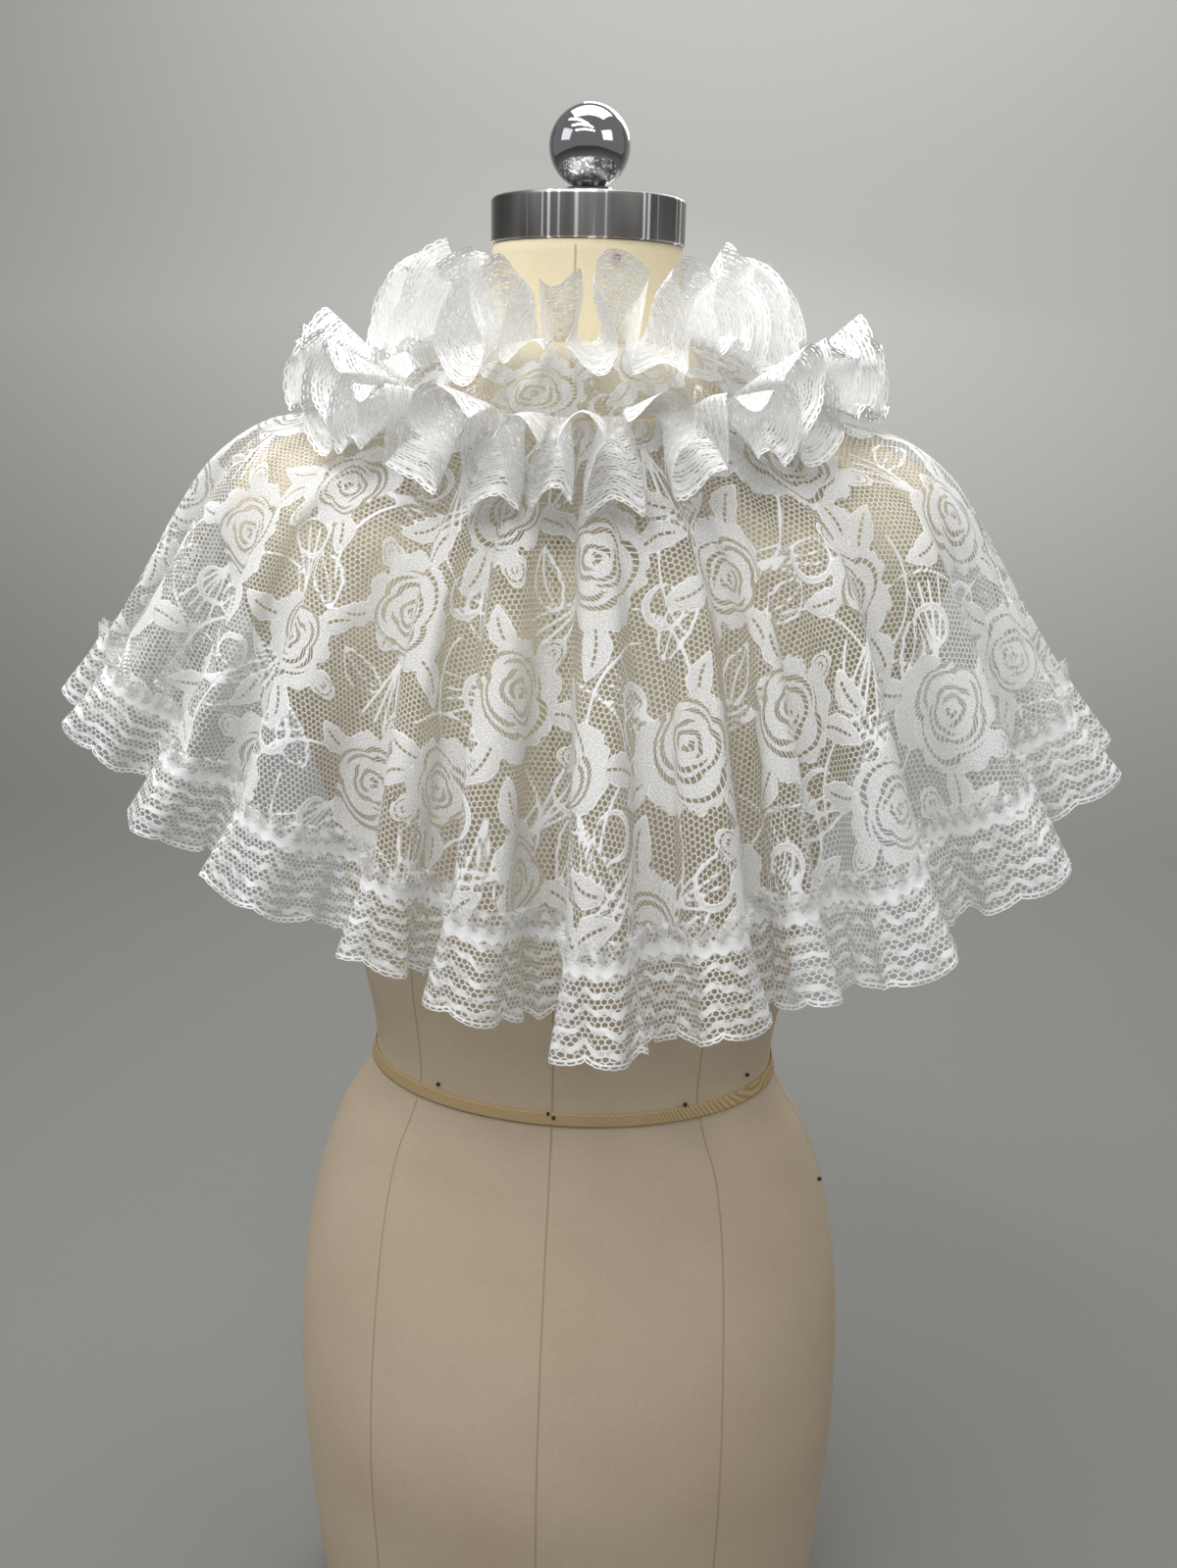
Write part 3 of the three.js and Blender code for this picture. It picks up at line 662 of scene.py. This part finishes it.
def raised(points, normals, fields):
    """Lifts the dense motifs off the net."""
    lift = MOTIF_RELIEF * smooth((0.6 - fields["edge"]) / 1.6)
    return points + normals * lift[:, None]


# Cape panels

# A quad's size, the share of the outer radius at which columns are counted, the dense line along
# each seam, and how far off the form the thin lace lies at least
CAPE_CELL = 1.75
COLUMN_RADIUS = 0.96
SEAM_LINE = 2.2
THIN_CLEARANCE = FORM_CLEARANCE + 0.3


def cape_wrinkles(number, part, turn):
    """Small gathers under the neck seam, soft creases beside the folds and finer ripples lower down."""
    gathers = 0.9 * np.sin(96 * turn + 2 * np.sin(11 * turn))
    creases = 1.5 * np.sin(2 * np.pi * 1.7 * number + 3 * np.sin(0.9 * number))
    ripples = 0.7 * np.sin(2 * np.pi * 4.3 * number + 9 * part + 2 * np.sin(2.1 * number))
    return (gathers * np.exp(-part / 0.1) * smooth(part / 0.02) + creases * smooth(part * 1.1 - 0.05)
            + ripples * smooth(part * 1.6 - 0.4))


def make_cape_panel(name, cad_node, first, last, material):
    """A panel of the cape between two fold numbers."""
    start = cut_turn(first + (SEAM_TRIM if first > 0 else 0))
    end = cut_turn(last - (SEAM_TRIM if last < FOLD_COUNT else 0))
    outer = CUT_INNER + CAPE_LENGTH
    columns = round((end - start) * outer * COLUMN_RADIUS / CAPE_CELL)
    rows = round(CAPE_LENGTH / CAPE_CELL)

    def cloth(across, up):
        turn = mix(start, end, across)
        number = fold_number(turn)
        part = 1 - up
        radius = CUT_INNER + CAPE_LENGTH * part
        flat = radius * np.sin(turn), -radius * np.cos(turn)
        fields = lace_pattern(*flat)
        off_seam = np.minimum(across, 1 - across) * (end - start) * radius - SEAM_LINE
        fields["edge"] = np.minimum(fields["edge"], off_seam)
        normals = cape_normal(number, part)
        points = cape_point(number, part) + normals * cape_wrinkles(number, part, turn)[:, None]
        points = laid_on_form(raised(points, normals, fields), THIN_CLEARANCE)
        return points, flat, fields

    mesh = lace_shape(name, columns, rows, cloth)
    piece = finish_piece(name, mesh, material, [cad_node])


# Edging lace, used for the hem and for both neck ruffles

TRIM = {
    "scallop": 28, "scallop_depth": 5, "picot_pitch": 3.4, "picot_reach": 2.4, "zigzag": 10,
    "band_pitch": 8.2, "thread_pitch": 2.2, "scroll_pitch": 8, "sewn_band": 3.2,
}
TRIM_CELL = 1.7

# Added to the distance from the sewn band where a strip has none
OUT_OF_REACH = 9


def trim_edge(along_strip, width):
    """How far down the scalloped edge lies from the strip's straight edge."""
    arch = np.abs(np.sin(np.pi * along_strip / TRIM["scallop"])) ** 0.7
    return width - TRIM["scallop_depth"] * (1 - arch)


def trim_pattern(along_strip, down, width, heading, threaded):
    """The trim's fields. On a threaded strip fine threads follow the edge, and the dense band at the
    sewn line is left out."""
    edge = trim_edge(along_strip, width) - down
    zigzag = 4 * np.abs((along_strip / TRIM["zigzag"]) % 1 - 0.5) - 1
    uneven = np.sin(along_strip / 17) + np.sin(along_strip / 7.3 + down / 6)
    scroll = np.sin(2 * np.pi * along_strip / TRIM["scroll_pitch"] + uneven)
    off_band = np.abs(down - heading - 1.2 * scroll) - TRIM["sewn_band"]
    picot = (along_strip / TRIM["picot_pitch"]) % 1 - 0.5
    return {
        "edge": edge,
        "band": (edge + 1.3 * zigzag + 1.1 * uneven - 0.6) / TRIM["band_pitch"],
        "thread": threaded * (edge + 0.8 * uneven) / TRIM["thread_pitch"],
        "heading": off_band + OUT_OF_REACH * threaded,
        "picot": picot * TRIM["picot_pitch"],
    }


def make_trim(name, cad_nodes, material, width, length, lay, heading, threaded):
    """A strip of edging lace. lay is given each point's share along the strip and how far down the
    strip it lies, in millimetres, and returns its place."""
    columns = round(length / TRIM_CELL)
    rows = round((width + TRIM["picot_reach"]) / TRIM_CELL)

    def cloth(across, up):
        strip = across * length
        down = (1 - up) * (trim_edge(strip, width) + TRIM["picot_reach"])
        return lay(across, down), (strip, down), trim_pattern(strip, down, width, heading, threaded)

    mesh = lace_shape(name, columns, rows, cloth)
    piece = finish_piece(name, mesh, material, cad_nodes)


# The hem trim's length is measured a little below its middle, and has more for its small ripples
HEM_MIDDLE = 1.08
HEM_FULLNESS = 1.04

# Height and pitch of the small ripples in the trim's heading and in its free part
HEM_RIPPLES = {"heading": 3.2, "heading_pitch": 9.5, "free": 3, "free_pitch": 27}


def make_hem(material):
    top, drop = HEM_STRIP["heading"], HEM_STRIP["drop"]
    numbers = np.interp(np.linspace(0, 1, 2001), hem_lengths / hem_lengths[-1], fold_numbers)
    middle = cape_point(numbers, np.full_like(numbers, HEM_MIDDLE))
    length = lengths_along(middle)[-1] * HEM_FULLNESS

    def lay(across, down):
        number = np.interp(across * hem_lengths[-1], hem_lengths, fold_numbers)
        below = down - top
        part = 1 + np.minimum(below, drop) / CAPE_LENGTH
        strip = across * length
        heading = np.clip(-below / top, 0, 1)
        free = np.clip(below / drop, 0, 1)
        lift = HEM_STRIP["offset"] + (HEM_STRIP["heading_lift"] - HEM_STRIP["offset"]) * heading
        lift += HEM_STRIP["flare"] * free
        heading_turn = 2 * np.pi * strip / HEM_RIPPLES["heading_pitch"] + 2 * np.sin(strip / 23)
        free_turn = 2 * np.pi * strip / HEM_RIPPLES["free_pitch"] + 1.5 * np.sin(strip / 47)
        lift += HEM_RIPPLES["heading"] * heading ** 1.2 * np.sin(heading_turn)
        lift += HEM_RIPPLES["free"] * free * np.sin(free_turn)
        points = cape_point(number, part) + cape_normal(number, part) * lift[:, None]
        points[:, 2] -= np.maximum(below - drop, 0)
        return points

    make_trim("lace_hem_ruffle", ["hem_ruffle_front_left", "hem_ruffle_back", "hem_ruffle_front_right"],
              material, top + drop, length, lay,
              heading=top, threaded=False)


# Small creases in a neck ruffle: how far its free edge flutters, in degrees, how high the gathers at
# its seam stand, and how many there are of each in a wave
RUFFLE_CREASES = {"flutter": 5.5, "flutters": 3.7, "gather": 1.3, "gathers": 11}

# The thin lace's lobes are a little fuller than the solids' plain waves
LOBE_FULLNESS = 1.4


def ruffle_point(shape, seam_point, wave, down):
    bearing = mix(-FRONT_EDGE, FRONT_EDGE, wave / shape["waves"])
    bearing += shape["wander"] * np.sin(2 * np.pi * shape["wander_turns"] * wave / shape["waves"])
    uneven = 1 + shape["unevenness"] * np.sin(UNEVEN_TURN * wave)
    share = down / shape["width"]
    phase = 2 * np.pi * wave
    mean = blend_by_side(bearing, shape["side"], shape["back"], shape["front"])
    flutter_turn = RUFFLE_CREASES["flutters"] * phase + 2 * np.sin(wave)
    flutter = RUFFLE_CREASES["flutter"] * np.sin(flutter_turn) * share
    crest = np.tanh(LOBE_FULLNESS * np.cos(phase)) / np.tanh(LOBE_FULLNESS)
    swing = uneven * blend_by_side(bearing, shape["swing"], shape["back_swing"], shape["swing"])
    slope = np.radians(mean + swing * crest - shape["curl"] * (share - 0.5) + flutter)
    outward = plan_outward(seam_point, bearing)
    across = np.stack([-outward[:, 1], outward[:, 0], np.zeros_like(bearing)], axis=1)
    points = seam_point(bearing) + outward * (shape["stand_off"] + down * np.cos(slope))[:, None]
    points[:, 2] += shape["rise"] + down * np.sin(slope)
    sway = shape["sway_gain"] * shape["sway"] * smooth(share * 1.2) * uneven * np.sin(2 * phase)
    gather = RUFFLE_CREASES["gather"] * np.sin(RUFFLE_CREASES["gathers"] * phase + 3 * np.sin(wave))
    points[:, 2] += gather * np.exp(-share / 0.3) * smooth(share * 12)
    return points + across * sway[:, None]


def make_neck_ruffle(name, cad_node, material, shape, seam_point):
    """A ruffle sewn to the collar band. Its length is measured a little below its middle."""
    waves = np.linspace(0, shape["waves"], 4001)
    middle = ruffle_point(shape, seam_point, waves, np.full_like(waves, shape["width"] * 0.6))
    lengths = lengths_along(middle)
    length = lengths[-1]

    def lay(across, down):
        wave = np.interp(across * length, lengths, waves)
        return ruffle_point(shape, seam_point, wave, down)

    make_trim(name, [cad_node], material, shape["width"], length, lay,
              heading=1, threaded=True)


# Collar band, gathered between the neck seam and the collar seam. It is highest at the centre
# front, so its area is a share of its rectangle's.

COLLAR_CUT = {"length": 700, "height": 56, "area_share": 0.72, "pattern_shift": 20, "clearance": 1.1}
COLLAR_CELL = {"across": 2, "up": 1.8}


def make_collar(material):
    length, height = COLLAR_CUT["length"], COLLAR_CUT["height"]
    columns = round(length / COLLAR_CELL["across"])
    rows = round(height / COLLAR_CELL["up"])

    def cloth(across, up):
        bearing = mix(-FRONT_EDGE, FRONT_EDGE, across)
        start = neck_seam_point(bearing)
        start[:, 2] += COLLAR["seam_rise"]
        shift = 0.9 * np.sin(5.3 * bearing / 57) + 0.6 * np.sin(11.7 * bearing / 57)
        gather = np.cos(2 * np.pi * (across * COLLAR["gathers"] + 0.25 * shift * up))
        pucker = 1.1 * np.sin(2 * np.pi * across * 71 + 3 * shift + 2.2 * up)
        pucker += 0.8 * np.sin(2 * np.pi * across * 47 - 5 * up + shift)
        swell = np.sin(np.pi * up) * (COLLAR["bulge"] + COLLAR["depth"] * gather + pucker)
        end = collar_seam_point(bearing)
        outward = plan_outward(neck_seam_point, bearing)
        points = start + (end - start) * up[:, None] + outward * swell[:, None]
        flat = across * length, up * height + COLLAR_CUT["pattern_shift"]
        return laid_on_form(points, COLLAR_CUT["clearance"]), flat, lace_pattern(*flat)

    mesh = lace_shape("lace_collar_band", columns, rows, cloth)
    piece = finish_piece("lace_collar_band", mesh, material, ["collar_band"])


# Dress form

def make_linen():
    """Unbleached linen canvas, plain woven and drawn tight over padding: warm beige, matte,
    with slubs in the yarn and a slightly uneven tone from handling. Painted light from above makes it paler
    and creamier towards the neck, and painted shade makes it darker and pinker lower down."""
    material, tree, shader = new_material("unbleached_linen_canvas")
    place = add(tree, "TexCoord", output="Object")
    stains = add(tree, "TexNoise", place, inputs={"Scale": 9.0, "Detail": 4.0})
    warp = add(tree, "Mapping", place, inputs={"Scale": (900, 900, 160)})
    weft = add(tree, "Mapping", place, inputs={"Scale": (150, 150, 1100)})
    yarns = [add(tree, "TexNoise", way, inputs={"Scale": 1.0, "Detail": 2.0}) for way in (warp, weft)]
    weave = add(tree, "Math ADD", *yarns)
    stains = add(tree, "Math MULTIPLY", stains, 0.6)
    tone = add(tree, "Math MULTIPLY_ADD", weave, 0.2, stains)
    # Painted light and shade: a lit, paler and creamier tone for the top of the form near the neck and a
    # shaded, darker tone lower down, picked by height
    body, neck = (
        add(tree, "Mix", tone, data_type="RGBA", output=2, inputs={6: dark, 7: light})
        for dark, light in (("c0a98d", "eadac2"), ("cfc09a", "f0e6cc")))
    high = add(tree, "MapRange", add(tree, "SeparateXYZ", place, output=2), 0.4, 0.62)
    colour = add(tree, "Mix", high, data_type="RGBA", output=2, inputs={6: body, 7: neck})
    bump = add(tree, "Bump", inputs={"Strength": 0.25, "Distance": 0.3 * MM, "Height": weave})
    fill(tree, shader, {"Base Color": colour, "Roughness": 0.88, "Specular IOR Level": 0.25, "Normal": bump})
    return material


def form_surface(bearing, z, grow=0.0):
    """Points of the form's surface, moved out by grow."""
    half, back, front = (along(FORM, "z", name, z) + grow for name in ("half", "back", "front"))
    x, y = oval_point(bearing, half, back, front)
    return np.stack([x, y, z], axis=1)


def make_form(linen, board):
    def place(across, up):
        return form_surface(across * 360, mix(BASE_BOARD_TOP, FORM["z"][-1], up))

    body = grid_shape("linen_form", 180, 150, place, closed=True)
    finish_piece("linen_form", body, linen, ["form_body"])
    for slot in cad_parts["form_base_board"].material_slots:
        slot.material = board


# Seams of the linen cover: bearing of each, its spread to a side of that, and its top
FORM_SEAMS = [
    ("centre_back", 0, 0, 835), ("right_back", 0, 37, 700), ("left_back", 0, -37, 700),
    ("right_side", 90, 0, 700), ("left_side", -90, 0, 700), ("right_front", 180, -37, 700),
    ("left_front", 180, 37, 700), ("centre_front", 180, 0, 835),
]
SEAM_WIDTH = 0.9
SEAM_HEIGHT = 0.12
SEAM_BOW = {"z": 395, "reach": 90, "share": 0.12}


def make_form_seam(name, middle, spread, top, thread):
    """A pressed-open seam, as a fine dark line. The spread seams draw together at the waist."""
    def place(across, up):
        z = mix(BASE_BOARD_TOP + 2, top, up)
        bow = SEAM_BOW["share"] * np.exp(-((z - SEAM_BOW["z"]) / SEAM_BOW["reach"]) ** 2)
        off_middle = np.degrees((across - 0.5) * SEAM_WIDTH / along(FORM, "z", "half", z))
        return form_surface(middle + spread * (1 + bow) + off_middle, z, SEAM_HEIGHT)

    mesh = grid_shape("form_seam_" + name, 2, 160, place)
    finish_piece("form_seam_" + name, mesh, thread)


def make_waist_tape(tape):
    """Cotton twill tape pinned round the waist, a closed band with rounded edges."""
    def place(across, up):
        angle = 2 * np.pi * up
        z = WAIST_TAPE["z"] - WAIST_TAPE["dip"] * np.cos(2 * np.pi * across)
        z = z + np.clip(0.75 * np.sin(angle), -0.5, 0.5) * WAIST_TAPE["width"]
        outward = np.clip(0.8 * np.cos(angle), -0.5, 0.5)
        grow = WAIST_TAPE["stand_off"] + WAIST_TAPE["thickness"] * (0.5 + outward)
        return form_surface(across * 360, z, grow)

    mesh = grid_shape("waist_tape", 220, 12, place, closed=True)
    finish_piece("waist_tape", mesh, tape, ["form_waist_tape"])


def make_twill():
    """Cotton twill tape, tightly woven: pale tan, matte, with fine slanted ribs."""
    material, tree, shader = new_material("tan_cotton_twill")
    place = add(tree, "TexCoord", output="Object")
    slanted = add(tree, "Mapping", place, inputs={"Rotation": (0.7, 0.0, 0.7)})
    ribs = add(tree, "TexWave", slanted, output="Fac",
               inputs={"Scale": 0.31 / (1.1 * MM), "Distortion": 1.0})
    colour = add(tree, "Mix", ribs, data_type="RGBA", output=2, inputs={6: "b89b6c", 7: "dac193"})
    fill(tree, shader, {"Base Color": colour, "Roughness": 0.8})
    return material


# Plain materials: darkest and lightest tone, roughness, and scale of the mottle between the tones
PLAIN_MATERIALS = {
    # Warm brown plywood, half matte, with a broad cloudy grain
    "birch_plywood_board": ("86633f", "a07c52", 0.7, 30.0),
    # Linen thread along a seam: a darker, quite matte line
    "linen_seam_thread": ("b7a183", "c6b194", 0.9, 200.0),
    # Blackened steel pin heads: nearly black, with a dull shine
    "dark_steel_pin": ("2c211e", "3b2c28", 0.4, 200.0),
    # A red glass pin head, glossy
    "red_glass_pin_head": ("74211a", "8e2b22", 0.25, 200.0),
    # Cast resin that looks like mother of pearl: creamy, cloudy and smooth
    "pearl_resin": ("e9e4da", "f6f4ee", 0.25, 60.0),
    # White cotton thread, matte
    "white_thread": ("efefec", "fafaf8", 0.8, 300.0),
}


def make_plain(name):
    dark, light, roughness, mottle_scale = PLAIN_MATERIALS[name]
    material, tree, shader = new_material(name)
    place = add(tree, "TexCoord", output="Object")
    mottle = add(tree, "TexNoise", place, inputs={"Scale": mottle_scale, "Detail": 3.0})
    tint = add(tree, "Mix", mottle, data_type="RGBA", output=2, inputs={6: dark, 7: light})
    fill(tree, shader, {"Base Color": tint, "Roughness": roughness})
    return material


def make_brushed_steel():
    """Stainless steel, brushed upright: grey, half glossy, with upright streaks of brushing grain whose
    brightness is painted sheen.
    """
    material, tree, shader = new_material("brushed_stainless_steel")
    place = add(tree, "TexCoord", output="Object")
    fine = add(tree, "Mapping", place, inputs={"Scale": (230, 230, 2)})
    coarse = add(tree, "Mapping", place, inputs={"Scale": (60, 60, 1)})
    grain, bands = (
        add(tree, "TexNoise", way, inputs={"Scale": 1.0, "Detail": 1.0}) for way in (fine, coarse))
    # Partly real brushing grain, partly painted sheen: bright upright streaks and broad bright bands are
    # painted into the colour, from dark grey up to white
    streaks = add(tree, "MapRange", grain, 0.58, 0.64)
    bright = add(tree, "Math MULTIPLY", add(tree, "MapRange", bands, 0.4, 0.65), 0.25)
    tone = add(tree, "Math MAXIMUM", streaks, bright)
    colour = add(tree, "Mix", tone, data_type="RGBA", output=2, inputs={6: "6f6d6a", 7: "ffffff"})
    roughness = add(tree, "MapRange", grain, 0, 1, 0.22, 0.46)
    fill(tree, shader, {"Base Color": colour, "Metallic": 1.0, "Roughness": roughness})
    return material


def make_polished_steel():
    """Steel ball, turned and polished to a mirror: it shows the room, with faint wiping marks."""
    material, tree, shader = new_material("polished_steel")
    place = add(tree, "TexCoord", output="Object")
    marks = add(tree, "TexNoise", place, inputs={"Scale": 120.0, "Detail": 4.0})
    roughness = add(tree, "MapRange", marks, 0, 1, 0.03, 0.1)
    fill(tree, shader, {"Base Color": "c4c3c6", "Metallic": 1.0, "Roughness": roughness})
    return material


def make_cap_and_finial(brushed, polished):
    bevel, radius = CAP["bevel"], CAP["radius"]
    corner = [(radius - bevel + bevel * math.cos(angle), CAP["top"] - bevel + bevel * math.sin(angle))
              for angle in np.linspace(0, math.pi / 2, 7)]
    profile = [(0, CAP["bottom"]), (radius - 1, CAP["bottom"]), (radius, CAP["bottom"] + 1),
               *corner, (radius - 9, CAP["top"]), (0, CAP["top"])]
    mesh = turned("steel_neck_cap", profile)
    finish_piece("steel_neck_cap", mesh, brushed, ["form_neck_cap"])
    mesh.set_sharp_from_angle(angle=math.radians(40))
    base, ring = FINIAL["base"], FINIAL["ring_radius"]
    ring_top = base + FINIAL["ring_height"]
    middle = ring_top + FINIAL["ball_radius"] - FINIAL["ball_sink"]
    start = math.acos((middle - ring_top) / FINIAL["ball_radius"])
    ball = [(FINIAL["ball_radius"] * math.sin(angle), middle - FINIAL["ball_radius"] * math.cos(angle))
            for angle in np.linspace(start, math.pi, 40)]
    ball[-1] = (0, ball[-1][1])
    profile = [(0, base), (ring - 0.6, base), (ring, base + 0.6), (ring, ring_top - 1.6),
               (ring - 0.8, ring_top - 0.6), *ball]
    mesh = turned("steel_ball_finial", profile)
    finish_piece("steel_ball_finial", mesh, polished, ["form_finial"])
    mesh.set_sharp_from_angle(angle=math.radians(35))


# Dressmaker's pins stuck in the form: bearing, height and head radius
DARK_PINS = [
    (-34, 391, 1.2), (-1, 386, 1.1), (0.5, 384, 1.2), (37, 389, 1.2), (62, 396, 1.2), (84, 318, 1.3),
]
RED_PINS = [(23, 829, 2.1)]


def make_pins(name, pins, material):
    bm = bmesh.new()
    for bearing, z, radius in pins:
        place = form_surface(np.array([float(bearing)]), np.array([float(z)]), 0.6 + radius / 2)[0]
        bmesh.ops.create_icosphere(bm, subdivisions=2, radius=radius * MM,
                                   matrix=Matrix.Translation(Vector(place) * MM))
    finish_piece(name, new_mesh(name, bm), material)


# The thread loop: its play round the button, its thread's radius, how far its middle is shifted over
# the front edge, and how far behind the button's middle it lies
LOOP = {"play": 0.6, "thread_radius": 0.5, "shift": 2.2, "set_back": 0.8}


def make_button(pearl, thread):
    """A small domed button on the collar's front edge, with a thread loop that it passes through."""
    low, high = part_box("collar_button")
    middle = (low + high) / 2
    bm = bmesh.new()
    bmesh.ops.create_uvsphere(bm, u_segments=32, v_segments=20, radius=1.0)
    bmesh.ops.scale(bm, vec=(high - low) / 2, verts=bm.verts)
    bmesh.ops.translate(bm, vec=middle, verts=bm.verts)
    finish_piece("pearl_button", new_mesh("pearl_button", bm), pearl, ["collar_button"])
    x, y, z = middle / MM
    half = (high.x - low.x) / 2 / MM + LOOP["play"]

    def place(across, up):
        around = 2 * np.pi * across
        tube = 2 * np.pi * up
        radius = half + LOOP["thread_radius"] * np.cos(tube)
        return np.stack([
            x - LOOP["shift"] + (radius + LOOP["shift"]) * np.cos(around),
            y - LOOP["set_back"] + LOOP["thread_radius"] * np.sin(tube),
            z + radius * np.sin(around),
        ], axis=1)

    loop_mesh = grid_shape("button_loop", 48, 8, place, closed=True)
    finish_piece("button_loop", loop_mesh, thread)


# Stage and light

def make_backdrop_paint():
    """Matte paint with painted shade: grey on the floor and paler up the wall, as the light falls off
    downward.
    """
    material, tree, shader = new_material("matte_backdrop_paint")
    height = add(tree, "SeparateXYZ", add(tree, "TexCoord", output="Object"), output=2)
    # Painted shade: darker on the floor, paler higher up the wall
    painted_light_up_wall = add(tree, "MapRange", height, 0.02, 0.9)
    tint = add(tree, "Mix", painted_light_up_wall, data_type="RGBA", output=2, inputs={6: "858582", 7: "cececa"})
    fill(tree, shader, {"Base Color": tint, "Roughness": 0.9})
    return material


# The wall's distance, the sweep's radius, the width, and the length with its near end
STAGE = {"wall": 2600, "radius": 1200, "width": 9000, "length": 14000, "near_end": -9000}


def make_stage():
    """A plain floor that sweeps up into a plain backdrop, well behind the form."""
    radius = STAGE["radius"]
    sweep_start = STAGE["wall"] - radius

    def place(across, up):
        past = up * STAGE["length"] + STAGE["near_end"] - sweep_start
        bend = np.clip(past / (radius * np.pi / 2), 0, 1) * np.pi / 2
        rise = np.maximum(past - radius * np.pi / 2, 0)
        y = sweep_start + np.minimum(past, 0) + radius * np.sin(bend)
        z = radius * (1 - np.cos(bend)) + rise
        return np.stack([(across - 0.5) * STAGE["width"], y, z], axis=1)

    mesh = grid_shape("backdrop", 2, 200, place)
    backdrop = bpy.data.objects.new("backdrop", mesh)
    mesh.materials.append(make_backdrop_paint())
    mesh.shade_smooth()
    scene.collection.objects.link(backdrop)


WORLD_STRENGTH = 0.27

# Where each soft light stands, what it points at, its width, height and power
LIGHTS = [
    ("key_high", (-0.5, -0.5, 2.1), (0, 0, 0.75), 1.5, 0.1, 9),
    ("key_middle", (-0.35, -0.9, 2.0), (0, 0, 0.75), 1.5, 0.1, 8),
    ("key_low", (-0.2, -1.3, 1.85), (0, 0, 0.75), 1.5, 0.1, 6),
    ("left", (-1.6, -0.7, 1.6), (0, 0, 0.65), 1.0, 0.8, 3),
    ("fill", (1.5, -0.9, 1.6), (0, 0, 0.65), 1.0, 0.8, 4),
    ("top", (0.0, 0.2, 1.9), (0, 0, 0.7), 1.2, 0.8, 11),
    ("front", (0.4, 2.0, 1.9), (0, 0, 0.6), 1.6, 1.2, 15),
    ("backdrop", (0.0, 1.3, 2.3), (0, 2.6, 1.3), 2.4, 0.3, 19),
]


def make_lights():
    for name, place, target, width, height, power in LIGHTS:
        data = bpy.data.lights.new(name, "AREA")
        data.shape = "RECTANGLE"
        data.size = width
        data.size_y = height
        data.energy = power
        light = bpy.data.objects.new(name, data)
        light.location = place
        light.rotation_euler = (Vector(target) - Vector(place)).to_track_quat("-Z", "Y").to_euler()
        scene.collection.objects.link(light)
    world = bpy.data.worlds.new("studio")
    scene.world = world
    world.use_nodes = True
    background = world.node_tree.nodes["Background"]
    fill(world.node_tree, background, {"Color": "f2f3f5", "Strength": WORLD_STRENGTH})


rose_lace = make_rose_lace()
trim_lace = make_trim_lace()
make_cape_panel("lace_cape_front_left", "cape_front_left", 0, LEFT_SEAM_FOLD, rose_lace)
make_cape_panel("lace_cape_back", "cape_back", LEFT_SEAM_FOLD, RIGHT_SEAM_FOLD, rose_lace)
make_cape_panel("lace_cape_front_right", "cape_front_right", RIGHT_SEAM_FOLD, FOLD_COUNT, rose_lace)
make_hem(trim_lace)
make_collar(rose_lace)
make_neck_ruffle("lace_neck_ruffle_base", "neck_ruffle_base", trim_lace, NECK_RUFFLE_BASE,
                 neck_seam_point)
make_neck_ruffle("lace_neck_ruffle_top", "neck_ruffle_top", trim_lace, NECK_RUFFLE_TOP,
                 collar_seam_point)

make_form(make_linen(), make_plain("birch_plywood_board"))
seam_thread = make_plain("linen_seam_thread")
for form_seam in FORM_SEAMS:
    make_form_seam(*form_seam, seam_thread)
make_waist_tape(make_twill())
make_cap_and_finial(make_brushed_steel(), make_polished_steel())
make_pins("dark_pin_heads", DARK_PINS, make_plain("dark_steel_pin"))
make_pins("red_pin_head", RED_PINS, make_plain("red_glass_pin_head"))
make_button(make_plain("pearl_resin"), make_plain("white_thread"))
make_stage()
make_lights()

scene.view_settings.view_transform = "Standard"
scene.cycles.transparent_max_bounces = 32
